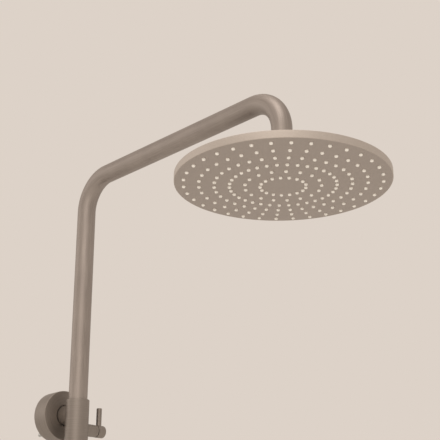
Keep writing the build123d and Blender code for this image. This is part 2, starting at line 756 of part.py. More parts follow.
def make_mixer_body():
    """The bar: two inlet necks behind, the column's boss above, the hose outlet below, bored throughout."""
    bar = RIGHT_END * turned(
        (0, -BODY_HALF),
        (BODY_RADIUS - BODY_EDGE, -BODY_HALF),
        (BODY_RADIUS, BODY_EDGE - BODY_HALF),
        (BODY_RADIUS, BODY_HALF - BODY_EDGE),
        (BODY_RADIUS - BODY_EDGE, BODY_HALF),
        (0, BODY_HALF),
    )
    back = INLET_FACE + INLET_COLLAR
    bore = rod(INLET_BORE, INLET_FACE, MIXER_OFFSET)
    body = bar + COLUMN * rod(BOSS_RADIUS, 0, BOSS_TOP)
    below = Plane(origin=(0, -MIXER_OFFSET, 0), z_dir=(0, 0, -1))
    spout = BODY_RADIUS + OUTLET_SHOULDER
    shoulder = rod(OUTLET_SHOULDER_RADIUS, 0, spout)
    body = body + below * (shoulder + rod(HALF_INCH_RADIUS, 0, spout + OUTLET_LENGTH))
    for side in (-1, 1):
        inlet = Plane(origin=(side * HALF_SPACING, 0, 0), z_dir=(0, -1, 0))
        neck = rod(INLET_NECK_RADIUS, INLET_FACE, MIXER_OFFSET) + rod(INLET_COLLAR_RADIUS, INLET_FACE, back)
        body = body + inlet * neck
        body = body - inlet * bore
    for end, floor in ((RIGHT_END, THERMO_FLOOR), (LEFT_END, DIVERTER_FLOOR)):
        relief = rod(CAVITY_RADIUS + THREAD_RELIEF, BODY_HALF - THREAD_LENGTH, BODY_HALF)
        body = body - end * (rod(CAVITY_RADIUS, floor, BODY_HALF) + relief)
    body = body - RIGHT_END * rod(MIXED_GALLERY, -DIVERTER_FLOOR, THERMO_FLOOR)
    hot_gallery = rod(HOT_GALLERY, -DIVERTER_FLOOR, THERMO_FLOOR)
    body = body - RIGHT_END * Pos(0, -HOT_GALLERY_OFFSET) * hot_gallery
    for side in (-1, 1):
        gallery = Pos(side * OUTLET_GALLERY_OFFSET, 0) * rod(OUTLET_GALLERY, 0, DIVERTER_FLOOR)
        body = body - LEFT_END * gallery
    reach = OUTLET_GALLERY_OFFSET - OUTLET_GALLERY
    seat = rod(COLUMN_RADIUS + RUNNING, BOSS_SEAT, BOSS_TOP)
    body = body - COLUMN * (rod(BOSS_BORE, reach, BOSS_TOP) + seat)
    return body - below * rod(OUTLET_BORE, reach, spout + OUTLET_LENGTH)


def make_column_nut():
    """The round nut that closes the column's joint on the mixer."""
    nut = turned(
        (BOSS_RADIUS + SEAT, COLUMN_NUT_BOTTOM),
        (COLUMN_NUT_RADIUS - COLUMN_NUT_EDGE, COLUMN_NUT_BOTTOM),
        (COLUMN_NUT_RADIUS, COLUMN_NUT_BOTTOM + COLUMN_NUT_EDGE),
        (COLUMN_NUT_RADIUS, COLUMN_NUT_TOP - COLUMN_NUT_BEVEL),
        (COLUMN_NUT_RADIUS - COLUMN_NUT_BEVEL, COLUMN_NUT_TOP),
        (COLUMN_RADIUS + SEAT, COLUMN_NUT_TOP),
        (COLUMN_RADIUS + SEAT, BOSS_TOP + SEAL_HEIGHT),
        (BOSS_RADIUS + SEAT, BOSS_TOP + SEAL_HEIGHT),
    )
    return COLUMN * nut


def make_column_seal():
    """The packing ring squeezed under the column nut."""
    return COLUMN * ring(BOSS_RADIUS, COLUMN_RADIUS + RUNNING, BOSS_TOP, BOSS_TOP + SEAL_HEIGHT)


def make_wall_union():
    """An offset union: its wall thread sits above the thread that carries the mixer."""
    rise = Pos(UNION_RISE, 0)
    middle = Pos(UNION_RISE / 2, 0)
    union = rise * rod(HALF_INCH_RADIUS, -UNION_DEPTH, UNION_BACK)
    union = union + middle * rod(UNION_RADIUS + UNION_RISE / 2, UNION_BACK, UNION_BACK + UNION_FLANGE)
    union = union + rod(UNION_RADIUS, UNION_BACK, UNION_LENGTH)
    union = union - rise * rod(HALF_INCH_RADIUS - 3, -UNION_DEPTH, UNION_BACK + UNION_FLANGE)
    return union - rod(UNION_BORE, UNION_BACK + 1, UNION_LENGTH)


def make_strainer_washer():
    """The sealing washer with its strainer cup, dipping into the union."""
    rim = INLET_BORE + 0.6
    return turned(
        (rim - STRAINER_WALL, UNION_LENGTH + WASHER_WALL),
        (rim - STRAINER_WALL, UNION_LENGTH - STRAINER_LENGTH + STRAINER_WALL),
        (0, UNION_LENGTH - STRAINER_LENGTH + STRAINER_WALL),
        (0, UNION_LENGTH - STRAINER_LENGTH),
        (rim, UNION_LENGTH - STRAINER_LENGTH),
        (rim, UNION_LENGTH),
        (UNION_RADIUS - 0.4, UNION_LENGTH),
        (UNION_RADIUS - 0.4, UNION_LENGTH + WASHER_WALL),
    )


def make_union_nut():
    """The hexagonal nut that pulls the mixer's inlet against the union."""
    start = UNION_ROSETTE_DEPTH + SEAM
    shoulder = INLET_FACE + INLET_COLLAR + SEAT
    nut = hexagon(UNION_NUT_APOTHEM, start, start + UNION_NUT_LENGTH)
    nut = nut - rod(UNION_RADIUS + SEAT, start, shoulder)
    return nut - rod(INLET_NECK_RADIUS + SEAT, start, start + UNION_NUT_LENGTH)


def make_check_valve():
    """The valve's cartridge in the inlet bore: a seat ring in front and a bridge that guides the stem."""
    start = INLET_FACE + 0.5
    outer = INLET_BORE - RUNNING
    shell = ring(outer, outer - CHECK_WALL, start, start + CHECK_LENGTH)
    seat = ring(outer, POPPET_RADIUS - 1, start, start + CHECK_SEAT)
    bridge = rod(outer, start + CHECK_LENGTH - 2, start + CHECK_LENGTH) & (
        Pos(0, 0, start + CHECK_LENGTH) * Box(4.4, 40, 8)
    )
    return shell + seat + bridge - rod(POPPET_STEM_RADIUS + RUNNING, start, start + CHECK_LENGTH + 1)


def make_poppet():
    """The closing disc with its guide stem."""
    start = INLET_FACE + 0.5 + CHECK_SEAT + SEAT
    disc = rod(POPPET_RADIUS, start, start + POPPET_WALL)
    return disc + rod(POPPET_STEM_RADIUS, start, start + CHECK_LENGTH - CHECK_SEAT)


def at_inlet(side):
    """Frame of an inlet: height counts away from the wall and the first axis points up."""
    return Plane(origin=(side * HALF_SPACING, 0, 0), x_dir=(0, 0, 1), z_dir=(0, -1, 0))


def at_both_inlets(piece):
    """The same piece at the hot and at the cold inlet."""
    return Part() + [at_inlet(side) * piece for side in (-1, 1)]


def make_thermo_housing():
    """The thermostatic cartridge's housing with hot and cold ports on either side of a sealing land."""
    body = ring(HOUSING_RADIUS, HOUSING_BORE, THERMO_FLOOR, HOUSING_END)
    land = ring(CAVITY_RADIUS - RUNNING, HOUSING_BORE, SEPARATOR_PLACE, SEPARATOR_PLACE + SEPARATOR_WIDTH)
    cap = rod(HOUSING_RADIUS, HOUSING_END - HOUSING_CAP, HOUSING_END)
    neck = rod(HOUSING_NECK_RADIUS, HOUSING_END, HOUSING_END + HOUSING_NECK)
    shaft = rod(SHAFT_RADIUS + RUNNING, HOUSING_END - HOUSING_CAP, HOUSING_END + HOUSING_NECK)
    body = body + land + cap + neck - shaft
    for place in (HOT_PORT_PLACE, COLD_PORT_PLACE):
        for turn in (0, 90):
            port = Pos(0, 0, place) * Rot(0, 0, turn) * Box(2 * HOUSING_RADIUS + 2, PORT_WIDTH, PORT_LENGTH)
            body = body - port
    return RIGHT_END * body


def make_thermo_spring():
    """The return spring's envelope between the cavity's floor and the regulating slide."""
    low, high = THERMO_FLOOR + SEAT, SLIDE_PLACE - SEAT
    return RIGHT_END * ring(SPRING_RADIUS, SPRING_RADIUS - SPRING_WALL, low, high)


def make_regulating_slide():
    """The ring that opens one port as it closes the other, with a web that grips the wax element."""
    end = SLIDE_PLACE + SLIDE_LENGTH
    skirt = ring(HOUSING_BORE - RUNNING, HOUSING_BORE - RUNNING - SLIDE_WALL, SLIDE_PLACE, end)
    web = ring(HOUSING_BORE - RUNNING, WAX_RADIUS + RUNNING, SLIDE_PLACE + 4, SLIDE_PLACE + 6)
    return RIGHT_END * (skirt + web)


def make_wax_element():
    """The wax capsule with its pushing nose."""
    end = WAX_PLACE + WAX_LENGTH
    return RIGHT_END * (rod(WAX_RADIUS, WAX_PLACE, end) + rod(WAX_NOSE_RADIUS, end, end + WAX_NOSE))


def make_temp_spindle():
    """Turned by the handle; its cup holds the wax element's nose."""
    nose = WAX_PLACE + WAX_LENGTH + WAX_NOSE
    flange = HOUSING_END - HOUSING_CAP - RUNNING
    spindle = turned(
        (WAX_NOSE_RADIUS + SEAT, SPINDLE_CUP_PLACE),
        (SPINDLE_CUP_RADIUS, SPINDLE_CUP_PLACE),
        (SPINDLE_CUP_RADIUS, SPINDLE_FLANGE_PLACE),
        (HOUSING_BORE - RUNNING, SPINDLE_FLANGE_PLACE),
        (HOUSING_BORE - RUNNING, flange),
        (SHAFT_RADIUS, flange),
        (SHAFT_RADIUS, SHAFT_END),
        (CAP_SHANK_RADIUS + SEAT, SHAFT_END),
        (CAP_SHANK_RADIUS + SEAT, SHAFT_END - CAP_THREAD - 1),
        (0, SHAFT_END - CAP_THREAD - 1),
        (0, nose + 1.5),
        (WAX_NOSE_RADIUS + SEAT, nose + 1.5),
    )
    return RIGHT_END * spindle


def make_cartridge_nut():
    """Screwed into the bar's end, it holds a cartridge by its shoulder."""
    nut = rod(CAVITY_RADIUS + THREAD_RELIEF - SEAT, HOUSING_END + SEAT, BODY_HALF)
    nut = nut + hexagon(CARTRIDGE_NUT_APOTHEM, BODY_HALF, CARTRIDGE_NUT_FACE)
    return nut - rod(HOUSING_NECK_RADIUS + RUNNING, HOUSING_END, CARTRIDGE_NUT_FACE)


def make_stop_ring():
    """The ring that limits the temperature handle, with the tooth that the stop button meets."""
    low = STOP_RING_PLACE
    tooth = Pos(STOP_RING_RADIUS - 1, 0, low + STOP_RING_WIDTH / 2) * Box(4.4, 4, STOP_RING_WIDTH)
    blank = rod(STOP_RING_RADIUS, low, low + STOP_RING_WIDTH) + tooth
    return RIGHT_END * (blank - rod(HOUSING_NECK_RADIUS + RUNNING, low, low + STOP_RING_WIDTH))


def make_handle():
    """A hollow round handle of the bar's own diameter, with a hub inside for the shaft."""
    handle = turned(
        (HANDLE_BORE, HANDLE_START),
        (BODY_RADIUS - BODY_EDGE, HANDLE_START),
        (BODY_RADIUS, HANDLE_START + BODY_EDGE),
        (BODY_RADIUS, HANDLE_END - HANDLE_EDGE),
        (BODY_RADIUS - HANDLE_EDGE, HANDLE_END),
        (CAP_RADIUS + SEAT, HANDLE_END),
        (CAP_RADIUS + SEAT, HANDLE_END - CAP_WALL),
        (CAP_SHANK_RADIUS + SEAT, HANDLE_END - CAP_WALL),
        (CAP_SHANK_RADIUS + SEAT, SHAFT_END + SEAT),
        (SHAFT_RADIUS + RUNNING, SHAFT_END + SEAT),
        (SHAFT_RADIUS + RUNNING, HUB_START),
        (HUB_RADIUS, HUB_START),
        (HUB_RADIUS, HANDLE_FLOOR),
        (HANDLE_BORE, HANDLE_FLOOR),
    )
    lever = Rot(0, 90, 0) * rod(HANDLE_PIN_RADIUS + RUNNING, HANDLE_PIN_ROOT, BODY_RADIUS + 1)
    return handle - Pos(0, 0, HANDLE_END - HANDLE_PIN_PLACE) * lever


def make_handle_pin():
    """The round lever pin screwed into a handle, standing up from it."""
    root = HANDLE_PIN_ROOT + SEAT
    pin = turned(
        (0, root),
        (HANDLE_PIN_RADIUS, root),
        (HANDLE_PIN_RADIUS, HANDLE_PIN_REACH - HANDLE_PIN_EDGE),
        (HANDLE_PIN_RADIUS - HANDLE_PIN_EDGE, HANDLE_PIN_REACH),
        (0, HANDLE_PIN_REACH),
    )
    return Pos(0, 0, HANDLE_END - HANDLE_PIN_PLACE) * Rot(0, 90, 0) * pin


def make_handle_cap():
    """The cap screw that draws a handle onto its shaft."""
    head = rod(CAP_RADIUS, HANDLE_END - CAP_WALL, HANDLE_END - CAP_SINK)
    return head + rod(CAP_SHANK_RADIUS, SHAFT_END - CAP_THREAD, HANDLE_END - CAP_WALL)


def button_line():
    """The line on the temperature handle's front on which its stop button slides."""
    return RIGHT_END * Pos(0, 0, BUTTON_PLACE) * Rot(-90, 0, 0)


def make_stop_button():
    """The small button that lets the temperature handle pass its stop."""
    flange = BUTTON_RADIUS + 1
    inner = math.sqrt(HANDLE_BORE**2 - flange**2) - SEAT
    button = rod(BUTTON_RADIUS, inner - BUTTON_FLANGE, BODY_RADIUS + BUTTON_PROUD)
    button = button + rod(flange, inner - BUTTON_FLANGE, inner)
    return button_line() * button


def make_diverter_housing():
    """The diverter cartridge's housing, open towards the bar's floor."""
    body = ring(HOUSING_RADIUS, HOUSING_BORE, DIVERTER_FLOOR, HOUSING_END)
    cap = rod(HOUSING_RADIUS, HOUSING_END - HOUSING_CAP, HOUSING_END)
    neck = rod(HOUSING_NECK_RADIUS, HOUSING_END, HOUSING_END + HOUSING_NECK)
    shaft = rod(SHAFT_RADIUS + RUNNING, HOUSING_END - HOUSING_CAP, HOUSING_END + HOUSING_NECK)
    return LEFT_END * (body + cap + neck - shaft)


def port_holes(low, high):
    """The mixed-water inlet in the middle and the two outlets above and below it."""
    holes = [rod(MIXED_GALLERY, low, high)]
    for side in (-1, 1):
        holes.append(Pos(side * OUTLET_GALLERY_OFFSET, 0) * rod(OUTLET_GALLERY, low, high))
    return holes


def make_diverter_gasket():
    """The rubber foot under the ceramic discs."""
    low, high = DIVERTER_FLOOR, DIVERTER_FLOOR + GASKET_WALL
    return LEFT_END * (rod(DISC_RADIUS, low, high) - port_holes(low, high))


def make_fixed_disc():
    """The ceramic disc that stays put, with three ports."""
    low = DIVERTER_FLOOR + GASKET_WALL
    high = low + FIXED_DISC_WALL
    return LEFT_END * (rod(DISC_RADIUS, low, high) - port_holes(low, high))


def make_moving_disc():
    """The ceramic disc that turns, with a pocket that joins the inlet to one outlet."""
    low = DIVERTER_FLOOR + GASKET_WALL + FIXED_DISC_WALL + RUNNING
    reach = OUTLET_GALLERY_OFFSET + OUTLET_GALLERY
    pocket = Pos(reach / 2 - 2, 0, low) * Box(reach + 1, 2 * MIXED_GALLERY, 2 * DISC_POCKET)
    return LEFT_END * (rod(DISC_RADIUS, low, low + MOVING_DISC_WALL) - Rot(0, 0, 90) * pocket)


def make_diverter_stem():
    """Turned by the flow handle; its flange drives the moving disc."""
    low = DIVERTER_FLOOR + GASKET_WALL + FIXED_DISC_WALL + MOVING_DISC_WALL + 2 * RUNNING
    shoulder = HOUSING_END - HOUSING_CAP - RUNNING
    stem = turned(
        (0, low),
        (DISC_RADIUS, low),
        (DISC_RADIUS, low + STEM_FLANGE),
        (STEM_SHOULDER_RADIUS, low + STEM_FLANGE),
        (STEM_SHOULDER_RADIUS, shoulder),
        (SHAFT_RADIUS, shoulder),
        (SHAFT_RADIUS, SHAFT_END),
        (CAP_SHANK_RADIUS + SEAT, SHAFT_END),
        (CAP_SHANK_RADIUS + SEAT, SHAFT_END - CAP_THREAD - 1),
        (0, SHAFT_END - CAP_THREAD - 1),
    )
    return LEFT_END * stem


def make_holder_slider():
    """The carrier that slides on the lower tube, with the cradle's stud to the right and a clamp to the left."""
    body = turned(
        (0, -HOLDER_HALF),
        (HOLDER_RADIUS - HOLDER_EDGE, -HOLDER_HALF),
        (HOLDER_RADIUS, HOLDER_EDGE - HOLDER_HALF),
        (HOLDER_RADIUS, HOLDER_HALF - HOLDER_EDGE),
        (HOLDER_RADIUS - HOLDER_EDGE, HOLDER_HALF),
        (0, HOLDER_HALF),
    )
    body = Location((0, -COLUMN_OFFSET, HOLDER_HEIGHT)) * body
    right = clamp_frame(HOLDER_HEIGHT, 1)
    left = clamp_frame(HOLDER_HEIGHT, -1)
    body = body + right * (rod(CRADLE_HUB_RADIUS, 0, CRADLE_FACE) + rod(STUD_RADIUS, 0, STUD_END))
    body = body + left * rod(NECK_RADIUS, 0, HOLDER_NECK_END)
    bore = rod(COLUMN_RADIUS + HOLDER_GAP, -HOLDER_HALF, HOLDER_HALF)
    pocket = COLUMN_RADIUS + RUNNING + SLIDE_RING_WALL + RUNNING
    for low in (HOLDER_LIP - HOLDER_HALF, HOLDER_HALF - HOLDER_LIP - SLIDE_RING_LENGTH - 2 * SEAT):
        bore = bore + rod(pocket, low, low + SLIDE_RING_LENGTH + 2 * SEAT)
    body = body - Location((0, -COLUMN_OFFSET, HOLDER_HEIGHT)) * bore
    screw = rod(CRADLE_SCREW_RADIUS + SEAT, STUD_END - CRADLE_SCREW_DEPTH, STUD_END)
    return body - left * clamp_bore(COLUMN_RADIUS, HOLDER_NECK_END) - right * screw


def make_holder_rings():
    """Two slide rings on which the carrier turns."""
    rings = Part()
    for low in (HOLDER_LIP - HOLDER_HALF, HOLDER_HALF - HOLDER_LIP - SLIDE_RING_LENGTH - 2 * SEAT):
        outer = COLUMN_RADIUS + RUNNING + SLIDE_RING_WALL
        rings = rings + ring(outer, COLUMN_RADIUS + RUNNING, low + SEAT, low + SEAT + SLIDE_RING_LENGTH)
    return Location((0, -COLUMN_OFFSET, HOLDER_HEIGHT)) * rings


def make_holder_cradle():
    """The conical clip for a hand shower, open in front for its hose, on a hub that tilts on the stud."""
    outside = Pos(CRADLE_PLACE, 0) * rod(CRADLE_RADIUS, -CRADLE_HALF, CRADLE_HALF)
    hub_start = CRADLE_FACE + SEAT
    hub = Rot(0, 90, 0) * rod(CRADLE_HUB_RADIUS, hub_start, CRADLE_PLACE)
    cone = Pos(CRADLE_PLACE, 0) * turned(
        (0, -CRADLE_HALF),
        (CRADLE_BOTTOM_BORE, -CRADLE_HALF),
        (CRADLE_TOP_BORE, CRADLE_HALF),
        (0, CRADLE_HALF),
    )
    slot = Pos(CRADLE_PLACE, -CRADLE_RADIUS) * Box(CRADLE_SLOT, 2 * CRADLE_RADIUS, 2 * CRADLE_HALF + 2)
    stud = Rot(0, 90, 0) * rod(STUD_RADIUS + RUNNING, hub_start, STUD_END + SEAT)
    screw = Rot(0, 90, 0) * rod(CRADLE_SCREW_RADIUS + SEAT, hub_start, CRADLE_PLACE)
    head = Rot(0, 90, 0) * rod(CRADLE_SCREW_HEAD + SEAT, STUD_END + CRADLE_WASHER_WALL, CRADLE_PLACE)
    cradle = outside + hub - cone - slot - stud - screw - head
    return Location((0, -COLUMN_OFFSET, HOLDER_HEIGHT)) * cradle


def make_cradle_screw():
    """The screw that keeps the cradle on its stud."""
    start = STUD_END + CRADLE_WASHER_WALL + SEAT
    head = rod(CRADLE_SCREW_HEAD, start, start + CRADLE_SCREW_HEAD_WALL)
    shank = rod(CRADLE_SCREW_RADIUS, STUD_END - CRADLE_SCREW_DEPTH + 5 * SEAT, start)
    return clamp_frame(HOLDER_HEIGHT, 1) * (head + shank)


BRACKET_CLAMP = clamp_frame(BRACKET_HEIGHT - CLAMP_DROP, 1)
HOLDER_CLAMP = clamp_frame(HOLDER_HEIGHT, -1)

BUTTON_HOLE = button_line() * rod(BUTTON_RADIUS + SEAT, HANDLE_BORE - 1, BODY_RADIUS + 1)

PIECES = {
    "riser_arm": make_riser_arm(),
    "ball_stud": make_ball_stud(),
    "flow_restrictor": make_flow_restrictor(),
    "ball_seat": make_ball_seat(),
    "head_cover": make_head_cover(),
    "socket_nut": make_socket_nut(),
    "face_plate": make_face_plate(),
    "nozzle_mat": make_nozzle_mat(),
    "backing_plate": make_backing_plate(),
    "head_gasket": make_head_gasket(),
    "bracket_body": make_bracket_body(),
    "guide_ring": make_guide_ring(),
    "bracket_rosette": make_rosette(ROSETTE_DEPTH, STUB_RADIUS + 0.5, BRACKET_HEIGHT, 0),
    "wall_plate": make_wall_plate(),
    "wall_screws": make_wall_screws(),
    "bracket_grub": make_bracket_grub(),
    "clamp_pad": BRACKET_CLAMP * make_pad(RISER_RADIUS),
    "clamp_spindle": BRACKET_CLAMP * make_spindle(RISER_RADIUS, BRACKET_NECK_END),
    "clamp_knob": BRACKET_CLAMP * make_knob(BRACKET_NECK_END),
    "clamp_lever": BRACKET_CLAMP * make_lever(BRACKET_NECK_END),
    "column_tube": make_column_tube(),
    "riser_gland": make_riser_gland(),
    "gland_seals": make_gland_seals(),
    "mixer_body": make_mixer_body(),
    "column_nut": make_column_nut(),
    "column_seal": make_column_seal(),
    "wall_unions": at_both_inlets(make_wall_union()),
    "strainer_washers": at_both_inlets(make_strainer_washer()),
    "union_nuts": at_both_inlets(make_union_nut()),
    "union_rosettes": Part()
    + [make_rosette(UNION_ROSETTE_DEPTH, UNION_RADIUS + SEAT, 0, side * HALF_SPACING) for side in (-1, 1)],
    "check_valves": at_both_inlets(make_check_valve()),
    "hot_poppet": at_inlet(-1) * make_poppet(),
    "cold_poppet": at_inlet(1) * make_poppet(),
    "thermo_housing": make_thermo_housing(),
    "thermo_spring": make_thermo_spring(),
    "regulating_slide": make_regulating_slide(),
    "wax_element": make_wax_element(),
    "temp_spindle": make_temp_spindle(),
    "cartridge_nuts": RIGHT_END * make_cartridge_nut() + LEFT_END * make_cartridge_nut(),
    "stop_ring": make_stop_ring(),
    "temp_handle": RIGHT_END * make_handle() - BUTTON_HOLE,
    "temp_lever": RIGHT_END * make_handle_pin(),
    "temp_cap": RIGHT_END * make_handle_cap(),
    "stop_button": make_stop_button(),
    "diverter_housing": make_diverter_housing(),
    "diverter_gasket": make_diverter_gasket(),
    "fixed_disc": make_fixed_disc(),
    "moving_disc": make_moving_disc(),
    "diverter_stem": make_diverter_stem(),
    "flow_handle": LEFT_END * make_handle(),
    "flow_lever": LEFT_END * make_handle_pin(),
    "flow_cap": LEFT_END * make_handle_cap(),
    "holder_slider": make_holder_slider(),
    "holder_rings": make_holder_rings(),
    "holder_cradle": make_holder_cradle(),
    "cradle_screw": make_cradle_screw(),
    "holder_pad": HOLDER_CLAMP * make_pad(COLUMN_RADIUS),
    "holder_spindle": HOLDER_CLAMP * make_spindle(COLUMN_RADIUS, HOLDER_NECK_END),
    "holder_knob": HOLDER_CLAMP * make_knob(HOLDER_NECK_END),
    "holder_lever": HOLDER_CLAMP * make_lever(HOLDER_NECK_END),
}

os.makedirs("parts", exist_ok=True)
for name, piece in PIECES.items():
    export_step(piece, f"parts/{name}.step")
print(len(PIECES), "pieces written")
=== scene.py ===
import math

import bmesh
import bpy
import numpy as np
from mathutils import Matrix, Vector


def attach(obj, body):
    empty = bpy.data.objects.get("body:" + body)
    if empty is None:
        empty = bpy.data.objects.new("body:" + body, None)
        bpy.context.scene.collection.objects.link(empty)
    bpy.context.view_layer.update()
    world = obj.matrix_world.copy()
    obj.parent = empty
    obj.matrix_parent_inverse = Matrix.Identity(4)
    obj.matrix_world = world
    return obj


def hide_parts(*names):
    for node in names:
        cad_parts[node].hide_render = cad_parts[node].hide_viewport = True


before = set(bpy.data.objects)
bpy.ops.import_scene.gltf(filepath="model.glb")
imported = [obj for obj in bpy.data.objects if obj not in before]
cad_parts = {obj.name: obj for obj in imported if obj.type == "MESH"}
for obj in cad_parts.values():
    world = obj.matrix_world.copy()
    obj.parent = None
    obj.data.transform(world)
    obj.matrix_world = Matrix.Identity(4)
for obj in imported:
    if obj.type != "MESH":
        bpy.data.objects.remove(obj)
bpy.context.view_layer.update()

# Sizes are in millimetres in the object's own frame; only finished meshes are turned to metres.
# The wall is at y = 0 with the room at negative y, and the mixer's bar lies along x at z = 0.
MM = 0.001

RISER_Y = -45.2
HEAD_Y = -379.7
MIXER_Y = -52.0
BRACKET_Z = 800.0
HOLDER_Z = 480.0
CLAMP_Z = 781.8

# The bent tube of riser and arm
TUBE_RADIUS = 11.0
TUBE_BORE = 9.8
TAIL_Z = 560.0
ARM_Z = 1088.4
BEND = 40.0
DROP_Z = 1040.0

# The lower tube, and the bracket's sleeve round both tubes
COLUMN_RADIUS = 12.2
COLUMN_BORE = 11.3
COLUMN_LOW = 14.0
COLUMN_TOP = 767.5
SLEEVE_RADIUS = 13.5
SLEEVE_LOW = 735.5
SLEEVE_TOP = 815.3
SLEEVE_BORE = 12.25
GUIDE_BORE = 11.35
GUIDE_POCKET = 12.1
GUIDE_LOW = 793.8
GUIDE_HIGH = 813.8
STEP_BORE = 11.6

# The spray face: part of a large sphere with a rim; a painted highlight makes the rim's colour lighter,
# setting in between the two rim radii below
FACE_Z = 985.0
FACE_SPHERE = 1723.9
FACE_RADIUS = 109.8
FACE_WALL = 1.6
LIT_RIM_FROM = 108.9
LIT_RIM_TO = 109.4
EDGE_Z = 988.5
RIM_TOP = 996.3
RIM_WALL = 2.0

# The nozzles: six rings in 34 directions; the two inner rings take every second direction
DIRECTIONS = 34
NOZZLE_ANGLE = 5.55
NOZZLE_STEP = 360 / DIRECTIONS
RINGS = 6
THIN_RINGS = 2
RING_RADIUS = 23.15
RING_PITCH = 15.42
RING_BORDERS = (15.44, 30.86, 46.28, 61.7, 77.12, 92.54, 106.6)
CELL_SIDES = 4
HOLE_RADIUS = 2.0

# The ball joint between arm and overhead shower
BALL_Z = 1019.0
BALL_RADIUS = 10.0
BALL_BORE = 3.5
BALL_NECK = 5.5
SOCKET_RADIUS = 12.9
SEAT_RADIUS = 10.9
SOCKET_THREAD = 15.9
BALL_NUT_RADIUS = 19.0
BALL_NUT_THREAD = 16.0
BALL_NUT_TOP = 16.0
CROWN_RADIUS = 21.9

# The mixer's bar, its two inlets, and the handles at its ends. A pin has a root, radius, reach and edge.
BAR_RADIUS = 21.0
BAR_HALF = 92.0
INLETS = (-75, 75)
HANDLE_START = 92.6
HANDLE_END = 132.6
HANDLE_PIN_X = 125.8
LEVER_PIN = (9.6, 4.0, 50.0, 0.9)
HANDLE_BORE = 17.8
HANDLE_FLOOR = HANDLE_END - 14.0
HUB_START = 103.0
HUB_WIDTH = 8.5
SPINDLE_BORE = 5.05
SPINDLE_END = 119.1
CAP_SHANK = 2.1
CAP_SEAT = 7.1
CAP_DEPTH = 2.5
CAP_PLAY = 0.1

# Clamp knobs of bracket and holder: the neck under a knob, the knob, and its pin as above
NECK_RADIUS = 7.3
KNOB_RADIUS = 7.2
KNOB_LENGTH = 10.7
KNOB_GAP = 0.6
KNOB_PIN = (4.35, 3.1, 27.2, 0.55)
BRACKET_NECK = 27.0
HOLDER_NECK = 22.0

# The hand shower holder: its carrier on the tube, and the open clip in front of its hub
CARRIER_RADIUS = 16.5
CARRIER_HALF = 21.0
CARRIER_BORE = 12.6
RING_SEAT = 13.5
RING_HALF = 19.2
HUB_RADIUS = 9.0
CLIP_X = 38.0
CLIP_RADIUS = 15.5
CLIP_HALF = 15.0
CLIP_BORE = 11.9
CLIP_TAPER = 0.7
CLIP_SLOT = 8.0

# The temperature scale: where its index stands round the bar, the handle's turn, half the ink's thickness
INDEX_ANGLE = 135
TURN_BACK = 60
TURN_ON = 150
MARK_STEP = 15
INK = 0.03


# --- Shapes ---------------------------------------------------------------------------------


def place(origin, axis, first):
    """A turned piece's own frame: origin, axis, the direction where its circle starts, and the next at 90
    degrees to it."""
    axis = np.array(axis, float)
    first = np.array(first, float)
    return np.array(origin, float), axis, first, np.cross(axis, first)


COLUMN = place((0, RISER_Y, 0), (0, 0, 1), (0, 1, 0))
HEAD = place((0, HEAD_Y, 0), (0, 0, 1), (0, 1, 0))
BAR = place((0, MIXER_Y, 0), (1, 0, 0), (0, 1, 0))
HOT_END = place((0, MIXER_Y, 0), (-1, 0, 0), (0, 1, 0))
CRADLE = place((CLIP_X, RISER_Y, HOLDER_Z), (0, 0, 1), (0, 1, 0))


def from_wall(across, height):
    """Frame of a piece that stands out of the wall; its height counts away from the wall."""
    return place((across, 0, height), (0, -1, 0), (0, 0, -1))


def sideways(side, height):
    """Frame of a piece that stands out of the column to one side; its height counts from the column's
    axis."""
    return place((0, RISER_Y, height), (side, 0, 0), (0, 1, 0))


def rounded(corners, steps=5):
    """Outline from (radius, height) or (radius, height, rounding) corners. A rounded corner P becomes the
    curve (1-s)^2 A + 2 s (1-s) P + s^2 B, where A and B lie one rounding before and after P on its sides."""
    points = []
    for index, corner in enumerate(corners):
        here = np.array(corner[:2], float)
        if len(corner) == 2:
            points.append(here[None])
            continue
        to_last = np.array(corners[index - 1][:2], float) - here
        to_next = np.array(corners[(index + 1) % len(corners)][:2], float) - here
        start = here + to_last / np.linalg.norm(to_last) * corner[2]
        end = here + to_next / np.linalg.norm(to_next) * corner[2]
        s = np.linspace(0, 1, steps + 1)[:, None]
        points.append((1 - s) ** 2 * start + 2 * s * (1 - s) * here + s**2 * end)
    return np.concatenate(points)


def circle(columns):
    """Angles of a closed circle, without the repeated last one."""
    return np.arange(columns) * 2 * np.pi / columns


def around(spot, radius, height, angle):
    """Point at a radius, height and angle in a frame: origin + height axis + radius (cos first + sin
    second)."""
    origin, axis, first, second = spot
    radius, height, angle = np.broadcast_arrays(radius, height, angle)
    out = radius[..., None] * (np.cos(angle)[..., None] * first + np.sin(angle)[..., None] * second)
    return origin + height[..., None] * axis + out


def turned(spot, corners, columns=96, steps=5):
    """A turned piece: the rounded outline of its corners, carried round the frame's axis. An outline that
    neither starts nor ends on the axis is a ring, and closes on itself."""
    outline = rounded(corners, steps)
    angle = circle(columns)[None]
    grid = around(spot, outline[:, :1], outline[:, 1:2], angle)
    open_end = corners[0][0] == 0 and corners[-1][0] == 0
    return grid, not open_end, True


